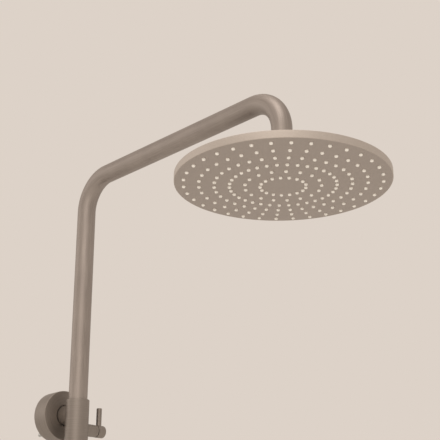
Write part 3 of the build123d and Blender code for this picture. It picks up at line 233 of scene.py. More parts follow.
def branch(main, spot, radius, corners, fillet, inset=1.1, shift=0.0, columns=72):
    """A round neck standing out of a round body. Around the neck's angle t, a ring of radius p meets the
    body, of radius R, at height sqrt((R + d)^2 - (shift + p sin t)^2). The fillet f runs through
    p = r + f (1 - sin u) and d = f (1 - cos u) for u from 0 to 90 degrees; then come the neck's own corners
    up to its closed end. It starts on a disc that lies inset below the body's surface."""
    t = circle(columns)[None]

    def foot(ring, clear):
        square = (main + clear) ** 2 - (shift + ring * np.sin(t)) ** 2
        return np.sqrt(np.maximum(square, 0))

    u = np.linspace(0, np.pi / 2, 7)[:, None]
    rings = radius + fillet * (1 - np.sin(u))
    rows = [
        (0 * t, foot(0, -inset) + 0 * t),
        (rings[:1] + 0 * t, foot(rings[:1], -inset)),
        (rings + 0 * t, foot(rings, fillet * (1 - np.cos(u)))),
    ]
    outline = rounded(corners)
    rows.append((outline[:, :1] + 0 * t, outline[:, 1:2] + 0 * t))
    ring = np.concatenate([row[0] for row in rows])
    height = np.concatenate([row[1] for row in rows])
    return around(spot, ring, height, t) + shift * spot[3], False, True


def hex_nut(spot, apothem, corners, columns=96):
    """A hexagonal nut: at each height the radius is the lesser of the hexagon's a / cos(t), t within 30
    degrees of a flat's middle, and the turned outline, so that the flats end in round chamfer arcs."""
    outline = rounded(corners, 3)
    angle = circle(columns)[None]
    within = (angle + np.pi / 6) % (np.pi / 3) - np.pi / 6
    flat = apothem / np.cos(within)
    radius = np.minimum(outline[:, :1], np.where(outline[:, :1] > apothem - 0.01, flat, 1e3))
    return around(spot, radius, outline[:, 1:2] + 0 * angle, angle), True, True


def threaded(spot, crest, low, high, pitch, bore, columns=48):
    """A threaded spigot: radius = crest - depth |2 frac(h / pitch - angle / turn) - 1|, fading out at its
    ends, closed through its bore."""
    depth = pitch * 0.55
    rows = int((high - low) / pitch * 8)
    h = np.linspace(low, high, rows)[:, None]
    angle = circle(columns)[None]
    wave = np.abs(2 * ((h / pitch - angle / (2 * np.pi)) % 1) - 1)
    ends = np.clip(np.minimum(h - low, high - h) / pitch, 0, 1)
    radius = crest - depth * (wave * ends + 0.9 * (1 - ends))
    ring = np.concatenate([np.full((1, columns), bore), radius, np.full((1, columns), bore)])
    height = np.concatenate([h[:1], h, h[-1:]]) + 0 * angle
    return around(spot, ring, height, angle), True, True


def bent_tube(columns=64, bend_rows=28):
    """The riser and arm: a ring of radius r carried along a line that runs up, through an arc of the bend's
    radius, level, through a second arc and down. Each ring lies across the line, in the directions X and
    X x tangent; the outside runs forwards and the bore back, so that the tube is closed."""
    a = np.linspace(0, np.pi / 2, bend_rows)
    zero = np.zeros_like(a)
    first = np.stack([zero, RISER_Y - BEND * (1 - np.cos(a)), ARM_Z - BEND * (1 - np.sin(a))], 1)
    second = np.stack([zero, HEAD_Y + BEND * (1 - np.sin(a)), ARM_Z - BEND * (1 - np.cos(a))], 1)
    rise = np.linspace(TAIL_Z, ARM_Z - BEND, 24)[:-1]
    level = np.linspace(RISER_Y - BEND, HEAD_Y + BEND, 16)[1:-1]
    up = np.stack([rise * 0, rise * 0 + RISER_Y, rise], 1)
    out = np.stack([level * 0, level, level * 0 + ARM_Z], 1)
    down = np.array([[0, HEAD_Y, DROP_Z]])
    line = np.concatenate([up, first, out, second, down])
    turning_out = np.stack([zero, -np.sin(a), np.cos(a)], 1)
    turning_down = np.stack([zero, -np.cos(a), -np.sin(a)], 1)
    slope = [up * 0 + [0, 0, 1], turning_out, out * 0 + [0, -1, 0], turning_down, [[0, 0, -1]]]
    slope = np.concatenate(slope)
    tangent = slope / np.linalg.norm(slope, axis=1, keepdims=True)
    side = np.array([1.0, 0, 0])
    normal = np.cross(side, tangent)
    t = circle(columns)[None, :, None]

    def rings(radius):
        return line[:, None] + radius * (np.cos(t) * side + np.sin(t) * normal[:, None])

    return np.concatenate([rings(TUBE_RADIUS), rings(TUBE_BORE)[::-1]]), True, True


def face_at(radius):
    """Height of the spray face: the bottom of a large sphere, z = lowest + R - sqrt(R^2 - r^2)."""
    return FACE_Z + FACE_SPHERE - np.sqrt(FACE_SPHERE**2 - radius**2)


def ring_angles(ring):
    """Directions of one ring's nozzles, in radians; the inner rings take every second one, in turns."""
    numbers = np.arange(ring, DIRECTIONS, 2) if ring < THIN_RINGS else np.arange(DIRECTIONS)
    return np.radians(NOZZLE_ANGLE + numbers * NOZZLE_STEP)


def face_cells():
    """The pierced part of the spray face. Around each nozzle lies a cell between two ring borders and two
    directions. Its border points, on one common grid of angles, are joined to round hole loops: a softened
    edge, the hole's wall, and the cell's border again on the plate's inner side."""
    patches = []
    for width, rings in ((1.0, range(THIN_RINGS)), (0.5, range(THIN_RINGS, RINGS))):
        across = int(2 * width * CELL_SIDES)
        count = 2 * (across + CELL_SIDES)
        side = np.linspace(-1, 1, CELL_SIDES + 1)[:-1]
        base = np.linspace(-1, 1, across + 1)[:-1]
        s = np.concatenate([base * 0 - 1, side, base * 0 + 1, -side])
        t = np.concatenate([base, side * 0 + 1, -base, side * 0 - 1])
        turn = np.radians(-135 + np.arange(count) * 360 / count)
        for ring in rings:
            angle = ring_angles(ring)[:, None, None]
            middle = RING_RADIUS + ring * RING_PITCH
            low, high = RING_BORDERS[ring], RING_BORDERS[ring + 1]
            border = (low + high) / 2 + s * (high - low) / 2
            border_angle = angle + np.radians(t * width * NOZZLE_STEP)
            loops = [(border * np.cos(border_angle), border * np.sin(border_angle), 0.0)]
            for hole, lift in ((HOLE_RADIUS + 0.25, 0.0), (HOLE_RADIUS, 0.3), (HOLE_RADIUS, FACE_WALL)):
                out = middle + hole * np.sin(turn)
                aside = hole * np.cos(turn)
                x = out * np.cos(angle) - aside * np.sin(angle)
                y = out * np.sin(angle) + aside * np.cos(angle)
                loops.append((x, y, lift))
            loops.append((loops[0][0], loops[0][1], FACE_WALL))
            rows = [np.stack([x, y, face_at(np.hypot(x, y)) + lift], -1) for x, y, lift in loops]
            grid = np.concatenate(rows, 1) + [0, HEAD_Y, 0]
            patches.append((grid, False, True))
    return patches


def face_rest():
    """The unpierced middle of the spray face, its outer band, rim and inner side, on the cells' angles."""
    columns = DIRECTIONS * CELL_SIDES
    angle = np.radians(NOZZLE_ANGLE + (np.arange(columns) / CELL_SIDES) * NOZZLE_STEP)[None]
    middle = np.linspace(0, RING_BORDERS[0], 5)[:, None]
    inner_wall = FACE_RADIUS - RIM_WALL
    last = RING_BORDERS[-1]
    outline = rounded(
        [
            (last, face_at(last)),
            (FACE_RADIUS - 0.9, face_at(FACE_RADIUS - 0.9)),
            (FACE_RADIUS, EDGE_Z - 0.05, 0.5),
            (FACE_RADIUS, RIM_TOP, 0.5),
            (inner_wall, RIM_TOP, 0.3),
            (inner_wall, face_at(inner_wall) + FACE_WALL),
            (last, face_at(last) + FACE_WALL),
        ]
    )
    return [
        (around(HEAD, middle, face_at(middle), angle + 0 * middle - np.pi / 2), False, True),
        (around(HEAD, middle, face_at(middle) + FACE_WALL, angle + 0 * middle - np.pi / 2), False, True),
        (around(HEAD, outline[:, :1], outline[:, 1:2], angle - np.pi / 2), False, True),
    ]


def nozzles(columns=10):
    """Each nozzle is a short cone with a rounded tip and a jet hole, turned about its own upright axis."""
    cone = [(1.95, 1.7), (1.9, -0.4), (1.75, -1.1), (1.3, -1.55)]
    outline = np.array(cone + [(0.5, -1.7), (0.4, -1.0), (0, -1.0)])
    angle = circle(columns)
    x = outline[:, :1] * np.cos(angle)
    y = outline[:, :1] * np.sin(angle)
    z = outline[:, 1:2] + 0 * angle
    single = np.stack([x, y, z], -1)
    spots = []
    for ring in range(RINGS):
        direction = ring_angles(ring)
        radius = RING_RADIUS + ring * RING_PITCH
        height = np.full(len(direction), face_at(radius))
        spots.append(np.stack([radius * np.cos(direction), HEAD_Y + radius * np.sin(direction), height], 1))
    return single[None] + np.concatenate(spots)[:, None, None], False, True


def cradle_shell(rows_out=44, rows_in=36):
    """The open conical clip: at each height a closed loop runs along the outer arc, round the slot's edge,
    back along the bore and round the other edge. Its arcs start at asin(slot / radius). Near both ends the
    loops shrink towards the wall's middle by an inset, which rounds the rims, and the last one closes."""
    lower = [(-CLIP_HALF, 1.0), (-CLIP_HALF, 0.6), (-CLIP_HALF + 0.2, 0.25), (-CLIP_HALF + 0.7, 0.0)]
    upper = [(-height, inset) for height, inset in reversed(lower)]
    loops = []
    for height, inset in lower + upper:
        bore = CLIP_BORE + CLIP_TAPER * height / CLIP_HALF
        wall = CLIP_RADIUS - bore
        off = wall / 2 if inset == 1.0 else inset
        big = CLIP_RADIUS - off
        small = bore + off
        edge = CLIP_SLOT + min(off, wall / 2 - 0.01)
        start_out, start_in = math.asin(edge / big), math.asin(edge / small)
        out = np.linspace(start_out, 2 * np.pi - start_out, rows_out)
        back = np.linspace(2 * np.pi - start_in, start_in, rows_in)
        ring = np.concatenate([np.full(rows_out, big), np.full(rows_in, small)])
        loops.append((ring, np.full(rows_out + rows_in, height), np.concatenate([out, back]) + np.pi))
    grid = np.stack([around(CRADLE, ring, height, angle) for ring, height, angle in loops])
    return grid, False, True


def printed_marks(spot, degrees, low, high, width):
    """Printed lines on the bar, as thin closed slabs: four corners at angle +- half a width over the
    radius, on an inner and an outer ring, each ring drawn together to its middle."""
    turn = np.radians(np.array(degrees, float))[:, None, None] + np.zeros((1, 4, 4))
    half = width / 2 / BAR_RADIUS
    middle = (low + high) / 2
    open_rows = np.array([0, 1, 1, 0])[:, None]
    angle = turn + open_rows * half * np.array([-1, 1, 1, -1])
    height = middle + open_rows * (high - low) / 2 * np.array([-1, -1, 1, 1])
    radius = BAR_RADIUS + INK * np.array([-1, -1, 1, 1])[:, None] + 0 * angle
    return around(spot, radius, height + 0 * angle, angle), False, True


# --- Meshes ---------------------------------------------------------------------------------


def quads(count, rows, columns, wrap_rows, wrap_columns):
    """Corner numbers and grid steps of every cell of one or more grids that lie one after another."""
    i = np.arange(rows if wrap_rows else rows - 1)[:, None]
    j = np.arange(columns if wrap_columns else columns - 1)[None]
    i, j = np.broadcast_arrays(i, j)
    steps_i = np.stack([i, i, i + 1, i + 1], -1).reshape(-1, 4)
    steps_j = np.stack([j, j + 1, j + 1, j], -1).reshape(-1, 4)
    corners = (steps_i % rows) * columns + steps_j % columns
    shift = np.arange(count)[:, None, None] * rows * columns
    return (corners[None] + shift).reshape(-1, 4), steps_i, steps_j


def lengths(grid, axis, wrap):
    """Distances along one direction of a grid, averaged over the other, as a running sum."""
    following = np.roll(grid, -1, axis)
    step = np.linalg.norm(following - grid, axis=-1).mean(axis=(0, 3 - axis))
    step = step if wrap else step[:-1]
    return np.concatenate([[0], np.cumsum(step)])


def piece(name, patches, finish, body, nodes, crease=32):
    """One object from its surface patches: the grids become quads with a UV map in metres, equal points are
    welded, faces are pointed outwards, and edges sharper than the crease angle stay crisp."""
    points, faces, uvs, base = [], [], [], 0
    for grid, wrap_rows, wrap_columns in patches:
        grid = grid if grid.ndim == 4 else grid[None]
        count, rows, columns = grid.shape[:3]
        corner, steps_i, steps_j = quads(count, rows, columns, wrap_rows, wrap_columns)
        u = lengths(grid, 2, wrap_columns)[steps_j]
        v = lengths(grid, 1, wrap_rows)[steps_i]
        uvs.append(np.tile(np.stack([u, v], -1), (count, 1, 1)).reshape(-1, 2))
        faces.append(corner + base)
        points.append(grid.reshape(-1, 3))
        base += count * rows * columns
    points = np.concatenate(points) * MM
    faces = np.concatenate(faces)
    mesh = bpy.data.meshes.new(name)
    mesh.vertices.add(len(points))
    mesh.vertices.foreach_set("co", points.astype(np.float32).ravel())
    mesh.loops.add(faces.size)
    mesh.loops.foreach_set("vertex_index", faces.astype(np.int32).ravel())
    mesh.polygons.add(len(faces))
    mesh.polygons.foreach_set("loop_start", np.arange(0, faces.size, 4, dtype=np.int32))
    mesh.polygons.foreach_set("loop_total", np.full(len(faces), 4, dtype=np.int32))
    mesh.uv_layers.new(name="lay")
    mesh.uv_layers["lay"].data.foreach_set("uv", (np.concatenate(uvs) * MM).astype(np.float32).ravel())
    mesh.update(calc_edges=True)
    edit = bmesh.new()
    edit.from_mesh(mesh)
    bmesh.ops.remove_doubles(edit, verts=edit.verts, dist=2e-6)
    bmesh.ops.dissolve_degenerate(edit, edges=edit.edges, dist=1e-6)
    bmesh.ops.recalc_face_normals(edit, faces=edit.faces)
    edit.to_mesh(mesh)
    edit.free()
    mesh.polygons.foreach_set("use_smooth", np.ones(len(mesh.polygons), dtype=bool))
    mesh.set_sharp_from_angle(angle=math.radians(crease))
    return dress(name, mesh, finish, body, nodes)


def dress(name, mesh, finish, body, nodes):
    """Makes an object of a mesh, gives it its finish, and lets it ride on its body."""
    mesh.materials.append(finish)
    made = bpy.data.objects.new(name, mesh)
    bpy.context.scene.collection.objects.link(made)
    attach(made, body)
    if nodes:
        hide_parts(*nodes)
    return made


def printed_number(name, number, size, spot, start_at, degrees, finish, body):
    """A number printed on the bar: a thin closed slab of its letter shapes, x along the axis, and y carried
    round the bar as angle = middle - y / radius."""
    letters = bpy.data.curves.new(name, "FONT")
    letters.body = number
    letters.size = size
    letters.extrude = INK
    letters.resolution_u = 4
    flat = bpy.data.objects.new(name + "_flat", letters)
    mesh = bpy.data.meshes.new_from_object(flat)
    bpy.data.objects.remove(flat)
    bpy.data.curves.remove(letters)
    points = np.empty(len(mesh.vertices) * 3, dtype=np.float32)
    mesh.vertices.foreach_get("co", points)
    x, y, z = points.reshape(-1, 3).astype(float).T
    angle = math.radians(degrees) - (y - y.mean()) / BAR_RADIUS
    bent = around(spot, BAR_RADIUS + z, start_at + x - x.min(), angle) * MM
    mesh.vertices.foreach_set("co", bent.astype(np.float32).ravel())
    edit = bmesh.new()
    edit.from_mesh(mesh)
    bmesh.ops.remove_doubles(edit, verts=edit.verts, dist=1e-7)
    bmesh.ops.recalc_face_normals(edit, faces=edit.faces)
    edit.to_mesh(mesh)
    edit.free()
    mesh.materials.clear()
    return dress(name, mesh, finish, body, [])


# --- Materials ------------------------------------------------------------------------------


def linear(code):
    """An sRGB hex colour as linear red, green, blue and alpha."""
    values = [int(code[i : i + 2], 16) / 255 for i in (0, 2, 4)]
    return [v / 12.92 if v <= 0.04045 else ((v + 0.055) / 1.055) ** 2.4 for v in values] + [1.0]


def node(tree, kind, inputs=None, **settings):
    """Adds a node, sets its properties, and sets or links its inputs."""
    made = tree.nodes.new(kind)
    for key, value in settings.items():
        setattr(made, key, value)
    for key, value in (inputs or {}).items():
        if isinstance(value, bpy.types.NodeSocket):
            tree.links.new(value, made.inputs[key])
        else:
            made.inputs[key].default_value = value
    return made


def start(name):
    """A new node material with its shader and output."""
    material = bpy.data.materials.new(name)
    material.use_nodes = True
    tree = material.node_tree
    tree.nodes.clear()
    shader = node(tree, "ShaderNodeBsdfPrincipled")
    node(tree, "ShaderNodeOutputMaterial", {"Surface": shader.outputs["BSDF"]})
    return material, tree, shader


def ramp(tree, value, dark, light, low=0.3, high=0.7):
    """Colours between two hex codes as a pattern's value runs from low to high."""
    made = node(tree, "ShaderNodeValToRGB", {"Fac": value})
    made.color_ramp.elements[0].position = low
    made.color_ramp.elements[1].position = high
    made.color_ramp.elements[0].color = linear(dark)
    made.color_ramp.elements[1].color = linear(light)
    return made.outputs["Color"]


def spread(tree, value, low, high):
    """A pattern's 0.3..0.7 taken to low..high, for a roughness."""
    settings = {"Value": value, "From Min": 0.3, "From Max": 0.7, "To Min": low, "To Max": high}
    return node(tree, "ShaderNodeMapRange", settings).outputs["Result"]


def grain(tree, size_mm, detail=3.0, stretch=(1, 1, 1), own_map=False):
    """Noise whose blobs are about size_mm across, stretched along the UV map's or the object's directions."""
    where = node(tree, "ShaderNodeTexCoord").outputs["UV" if own_map else "Object"]
    stretched = node(tree, "ShaderNodeMapping", {"Vector": where, "Scale": stretch}).outputs["Vector"]
    settings = {"Vector": stretched, "Scale": 1 / (size_mm * MM), "Detail": detail}
    return node(tree, "ShaderNodeTexNoise", settings).outputs["Fac"]


def bump(tree, shader, value, depth_mm, strength=1.0):
    """Lets a pattern tilt the shading as relief of a depth in millimetres."""
    made = node(tree, "ShaderNodeBump", {"Height": value, "Distance": depth_mm * MM, "Strength": strength})
    tree.links.new(made.outputs["Normal"], shader.inputs["Normal"])


def brushed_nickel(name, stretch, dark, light):
    """Brass tube and turned brass, plated in warm nickel and brushed with a fine belt under a clear lacquer.
    The eye sees a soft, broad highlight and faint hairlines, over a slight clouding some 45 mm across. The
    hairlines are really 0.05 mm wide and are drawn at 0.7 mm, so that they show."""
    material, tree, shader = start(name)
    lines = grain(tree, 0.7, 4.0, stretch, own_map=True)
    cloud = grain(tree, 45.0, 2.0)
    share = {"Factor": 0.3, "A": lines, "B": cloud}
    mixed = node(tree, "ShaderNodeMix", share, data_type="FLOAT").outputs["Result"]
    tree.links.new(ramp(tree, mixed, dark, light, 0.38, 0.62), shader.inputs["Base Color"])
    tree.links.new(spread(tree, lines, 0.48, 0.6), shader.inputs["Roughness"])
    shader.inputs["Metallic"].default_value = 1.0
    bump(tree, shader, lines, 0.012, 0.5)
    return material


def blasted_nickel():
    """The spray face: pressed steel, glass-bead blasted, then plated in the same warm nickel. It gives a
    matt, even grey-brown with a fine sparkle; the 0.1 mm bead marks are drawn at 0.8 mm, so that they show.
    The rim is painted a shade lighter, a painted highlight standing for the light it catches. It is told by
    its distance from the axis, sqrt(x^2 + (y - centre)^2), which takes the colour over between the
    highlight's two radii."""
    material, tree, shader = start("bead_blasted_nickel")
    marks = grain(tree, 0.8)
    where = node(tree, "ShaderNodeTexCoord").outputs["Object"]
    level = node(tree, "ShaderNodeVectorMath", {0: where, 1: (1, 1, 0)}, operation="MULTIPLY")
    to_axis = {0: level.outputs["Vector"], 1: (0, HEAD_Y * MM, 0)}
    away = node(tree, "ShaderNodeVectorMath", to_axis, operation="DISTANCE").outputs["Value"]
    reach = {"Value": away, "From Min": LIT_RIM_FROM * MM, "From Max": LIT_RIM_TO * MM}
    edge = node(tree, "ShaderNodeMapRange", reach).outputs["Result"]
    # A colour mix has its factor at socket 0, its two colours at 6 and 7, and its result at output 2
    # The rim's colours are a painted highlight: the face's own colours made lighter where the rim catches the
    # light
    shades = {0: edge, 6: ramp(tree, marks, "A9A099", "B8AFA8"), 7: ramp(tree, marks, "B9B0A7", "C9C0B8")}
    mixed = node(tree, "ShaderNodeMix", shades, data_type="RGBA")
    tree.links.new(mixed.outputs[2], shader.inputs["Base Color"])
    tree.links.new(spread(tree, marks, 0.52, 0.64), shader.inputs["Roughness"])
    shader.inputs["Metallic"].default_value = 0.85
    bump(tree, shader, marks, 0.02, 0.4)
    return material


def plain(name, dark, light, size_mm, rough, metallic=0.0, ior=1.5, depth_mm=0.01):
    """A material whose colour, roughness and relief all follow one grain of a real size."""
    material, tree, shader = start(name)
    marks = grain(tree, size_mm)
    tree.links.new(ramp(tree, marks, dark, light), shader.inputs["Base Color"])
    tree.links.new(spread(tree, marks, *rough), shader.inputs["Roughness"])
    shader.inputs["Metallic"].default_value = metallic
    if not metallic:
        shader.inputs["IOR"].default_value = ior
    bump(tree, shader, marks, depth_mm, 0.5)
    return material


# The tubes are brushed along their length, the map's second direction. Turned parts are brushed around, its
# first direction, and their colours are set a shade darker than the tubes'.
TUBE_FINISH = brushed_nickel("lengthwise_brushed_nickel", (1.0, 0.02, 1.0), "99908A", "AAA19A")
TURNED_FINISH = brushed_nickel("turned_brushed_nickel", (0.02, 1.0, 1.0), "8B837C", "9C948D")
FACE_FINISH = blasted_nickel()
# Liquid silicone, moulded against polished steel: soft, milky and nearly white, with little gloss
SILICONE = plain("moulded_white_silicone", "F8F4EC", "FEFCF6", 1.5, (0.42, 0.55), ior=1.41)
# Machined brass, left bare inside the fittings: yellow metal with fine turning marks
BRASS = plain("machined_brass", "B08D4C", "C9A663", 0.9, (0.22, 0.36), metallic=1.0)
# Stainless steel, drawn or turned: neutral grey with a short dull shine
STEEL = plain("drawn_stainless_steel", "A9A9A6", "BDBDBA", 0.8, (0.2, 0.34), metallic=1.0, depth_mm=0.008)
# Acetal, turned from white bar: dense, off-white and slightly waxy
ACETAL = plain("turned_acetal", "D9D7D0", "E6E4DD", 1.2, (0.3, 0.42), ior=1.48)
# Glass-filled plastic, moulded: black-grey with the dull bloom of its fibres
PLASTIC = plain(
    "moulded_glass_filled_plastic", "1E1F20", "2B2C2D", 0.9, (0.42, 0.58), ior=1.58, depth_mm=0.02
)
# Alumina ceramic, lapped flat: cool white and glossy
CERAMIC = plain("lapped_alumina", "E2E3E0", "EEEEEB", 1.0, (0.1, 0.18), ior=1.76, depth_mm=0.003)
# Rubber, moulded: matt black with a slight bloom
RUBBER = plain("moulded_seal_rubber", "161616", "222221", 1.1, (0.6, 0.78), ior=1.52, depth_mm=0.02)
# Safety button, moulded in through-coloured plastic: dull warm red
BUTTON = plain("moulded_red_plastic", "8E2A22", "9E332A", 0.9, (0.35, 0.48), ior=1.53)
# Pad-printed ink, baked on: dark grey, matt, a few hundredths of a millimetre thick
INK_FINISH = plain("baked_printing_ink", "2B2A29", "343230", 0.6, (0.5, 0.6), depth_mm=0.004)

SLOT_FINISH = {
    "satin_nickel": TURNED_FINISH,
    "face_nickel": FACE_FINISH,
    "nozzle_silicone": SILICONE,
    "brass": BRASS,
    "steel": STEEL,
    "acetal": ACETAL,
    "dark_plastic": PLASTIC,
    "ceramic": CERAMIC,
    "seal_rubber": RUBBER,
    "button_red": BUTTON,
}

def nickel(name, patches, body, node_name, finish=TURNED_FINISH):
    """A piece in brushed nickel that stands for one CAD node."""
    return piece(name, patches, finish, body, [node_name])


# --- Overhead shower ------------------------------------------------------------------------

nickel("riser_tube", [bent_tube()], "riser", "riser_arm", TUBE_FINISH)

piece("spray_face", face_cells() + face_rest(), FACE_FINISH, "head", ["face_plate"], crease=28)

# The nozzles' sheet lies on the face's inner side and follows its curve
SHEET_LOW = FACE_WALL + 0.1
SHEET_HIGH = SHEET_LOW + 1.6
SHEET_RADII = (0, 60, 106.5)
sheet_outline = [(radius, face_at(radius) + SHEET_LOW) for radius in SHEET_RADII]
sheet_outline += [(radius, face_at(radius) + SHEET_HIGH) for radius in reversed(SHEET_RADII)]
sheet = turned(HEAD, sheet_outline)
piece("nozzle_sheet", [sheet, nozzles()], SILICONE, "head", ["nozzle_mat"], crease=50)

# The upper shell: a shallow cone from the rim up to a crown, with the ball's lower seat in its middle
COVER_EDGE = FACE_RADIUS - RIM_WALL - 0.2
COVER_TOP = RIM_TOP - 0.3
COVER_WALL = 2.0
COVER_SKIRT = 991.8
CROWN = EDGE_Z + 15.0
shell = turned(
    HEAD,
    [
        (BALL_NECK, CROWN - COVER_WALL),
        (CROWN_RADIUS, CROWN - COVER_WALL),
        (COVER_EDGE - 8, COVER_TOP - COVER_WALL),
        (COVER_EDGE - COVER_WALL, COVER_TOP - COVER_WALL),
        (COVER_EDGE - COVER_WALL, COVER_SKIRT),
        (COVER_EDGE, COVER_SKIRT),
        (COVER_EDGE, COVER_TOP, 0.6),
        (COVER_EDGE - 6, COVER_TOP, 3.0),
        (CROWN_RADIUS, CROWN, 4.0),
        (SOCKET_THREAD, CROWN + 1.5, 0.8),
        (SOCKET_THREAD, BALL_Z + 2, 0.4),
        (SOCKET_RADIUS, BALL_Z + 2),
        (SOCKET_RADIUS, BALL_Z),
        (SEAT_RADIUS, BALL_Z - 7),
        (BALL_NECK, BALL_Z - 11.7),
    ],
    columns=160,
)
nickel("upper_shell", [shell], "head", "head_cover")

ball_nut = turned(
    HEAD,
    [
        (BALL_NUT_THREAD, BALL_Z - 11.5),
        (BALL_NUT_RADIUS, BALL_Z - 11.5, 0.8),
        (BALL_NUT_RADIUS, BALL_Z + 6, 1.0),
        (BALL_NUT_TOP, BALL_Z + 9, 1.0),
        (10.8, BALL_Z + 9, 0.5),
        (8.4, BALL_Z + 6),
        (10.2, BALL_Z + 4),
        (13.25, BALL_Z + 4),
        (13.25, BALL_Z + 2.4),
        (BALL_NUT_THREAD, BALL_Z + 2.4),
    ],
)
nickel("ball_nut", [ball_nut], "head", "socket_nut")

# The ball's outline is its own arc, from the waterway's mouth up to the neck; its plug fills the arm's end
PLUG_RADIUS = 9.7
PLUG_DEPTH = 8.4
arc = np.linspace(math.asin(BALL_BORE / BALL_RADIUS), np.pi - math.asin(BALL_NECK / BALL_RADIUS), 24)
ball_outline = [(BALL_RADIUS * math.sin(a), BALL_Z - BALL_RADIUS * math.cos(a)) for a in arc]
stud = turned(
    HEAD,
    ball_outline
    + [
        (BALL_NECK, BALL_Z + 14.5, 1.2),
        (TUBE_RADIUS, BALL_Z + 14.5, 1.0),
        (TUBE_RADIUS, DROP_Z - 0.4, 0.2),
        (TUBE_RADIUS - 0.4, DROP_Z),
        (PLUG_RADIUS, DROP_Z),
        (PLUG_RADIUS, DROP_Z + PLUG_DEPTH),
        (BALL_BORE, DROP_Z + PLUG_DEPTH),
    ],
    columns=72,
)
nickel("ball_pin", [stud], "riser", "ball_stud")

# --- Bracket --------------------------------------------------------------------------------

sleeve = turned(
    COLUMN,
    [
        (SLEEVE_BORE, SLEEVE_LOW, 0.2),
        (SLEEVE_RADIUS, SLEEVE_LOW, 1.0),
        (SLEEVE_RADIUS, SLEEVE_TOP, 1.0),
        (GUIDE_BORE, SLEEVE_TOP, 0.3),
        (GUIDE_BORE, GUIDE_HIGH),
        (GUIDE_POCKET, GUIDE_HIGH),
        (GUIDE_POCKET, GUIDE_LOW),
        (STEP_BORE, GUIDE_LOW),
        (STEP_BORE, COLUMN_TOP),
        (SLEEVE_BORE, COLUMN_TOP),
    ],
)
STUB_RADIUS = 11.5
STUB_END = 38.8
to_wall = place((0, RISER_Y, BRACKET_Z), (0, 1, 0), (0, 0, 1))
stub = branch(SLEEVE_RADIUS, to_wall, STUB_RADIUS, [(STUB_RADIUS, STUB_END, 0.4), (0, STUB_END)], 0.8)


def knob_neck(main, side, height, end):
    """The short neck in which a clamp screw turns, out of a round body to one side."""
    spot = place((0, RISER_Y, height), (side, 0, 0), (0, 0, 1))
    return branch(main, spot, NECK_RADIUS, [(NECK_RADIUS, end, 0.35), (0, end)], 0.8)


neck = knob_neck(SLEEVE_RADIUS, 1, CLAMP_Z, BRACKET_NECK)
nickel("bracket_sleeve", [sleeve, stub, neck], "base", "bracket_body")


def wall_cover(across, height, depth, opening):
    """A turned cover on the wall with a softened front edge and a bead round its opening."""
    outer, inner = 29.0, 27.2
    return turned(
        from_wall(across, height),
        [
            (inner, 0),
            (outer, 0, 0.3),
            (outer, depth, 1.1),
            (opening, depth, 0.5),
            (opening, depth - 1.8),
            (inner, depth - 1.8),
        ],
        columns=128,
    )


nickel("bracket_cover", [wall_cover(0, BRACKET_Z, 21.4, 12.0)], "base", "bracket_rosette")


def clamp_knob(side, height, neck_end):
    """A small round knob with a well-rounded end."""
    low = neck_end + KNOB_GAP
    high = low + KNOB_LENGTH
    outline = [(0, low), (KNOB_RADIUS, low, 0.35), (KNOB_RADIUS, high, 2.4), (0, high)]
    return turned(sideways(side, height), outline, columns=72, steps=8)


def pin(x, y, height, root, radius, reach, edge):
    """A round lever pin standing straight up, with a flat, softened top."""
    upright = place((x, y, height), (0, 0, 1), (0, 1, 0))
    return turned(upright, [(0, root), (radius, root), (radius, reach, edge), (0, reach)], columns=48)


# A knob's pin stands this far past the neck's end
PIN_PAST_NECK = 4.4
nickel("bracket_knob", [clamp_knob(1, CLAMP_Z, BRACKET_NECK)], "clamp_screw", "clamp_knob")
bracket_pin = pin(BRACKET_NECK + PIN_PAST_NECK, RISER_Y, CLAMP_Z, *KNOB_PIN)
nickel("bracket_lever", [bracket_pin], "clamp_screw", "clamp_lever")

# --- Column ---------------------------------------------------------------------------------

column_outline = [(COLUMN_BORE, COLUMN_LOW), (COLUMN_RADIUS, COLUMN_LOW)]
column_outline += [(COLUMN_RADIUS, COLUMN_TOP, 0.2), (COLUMN_BORE, COLUMN_TOP)]
nickel("lower_tube", [turned(COLUMN, column_outline)], "base", "column_tube", TUBE_FINISH)

# --- Mixer ----------------------------------------------------------------------------------

# The bar with the boss that carries the column, the spout with its half-inch thread, and the inlets' necks
BAR_BORE = 16.0
BOSS_RADIUS = 14.4
BOSS_TOP = 30.0
SPOUT_RADIUS = 13.0
SPOUT_END = 24.0
THREAD_CREST = 10.48
THREAD_PITCH = 1.814
INLET_NECK = 10.2
INLET_COLLAR = 12.6
bar_outline = [(BAR_BORE, -BAR_HALF), (BAR_RADIUS, -BAR_HALF, 0.9)]
bar_outline += [(BAR_RADIUS, BAR_HALF, 0.9), (BAR_BORE, BAR_HALF)]
bar = turned(BAR, bar_outline, columns=128)
upwards = place((0, MIXER_Y, 0), (0, 0, 1), (1, 0, 0))
boss_outline = [(BOSS_RADIUS, BOSS_TOP, 0.4), (0, BOSS_TOP)]
boss = branch(BAR_RADIUS, upwards, BOSS_RADIUS, boss_outline, 0.8, shift=RISER_Y - MIXER_Y)
downwards = place((0, MIXER_Y, 0), (0, 0, -1), (1, 0, 0))
spout_outline = [(SPOUT_RADIUS, SPOUT_END, 0.6), (0, SPOUT_END)]
spout = branch(BAR_RADIUS, downwards, SPOUT_RADIUS, spout_outline, 1.0)
outlet_thread = threaded(downwards, THREAD_CREST, SPOUT_END - 0.5, 35.0, THREAD_PITCH, 6.5)
neck_outline = [(INLET_NECK, 27.8), (INLET_COLLAR, 27.8), (INLET_COLLAR, 30.0), (0, 30.0)]
necks = [
    branch(BAR_RADIUS, place((across, MIXER_Y, 0), (0, 1, 0), (1, 0, 0)), INLET_NECK, neck_outline, 1.0)
    for across in INLETS
]
nickel("mixer_bar", [bar, boss, spout, outlet_thread] + necks, "base", "mixer_body")

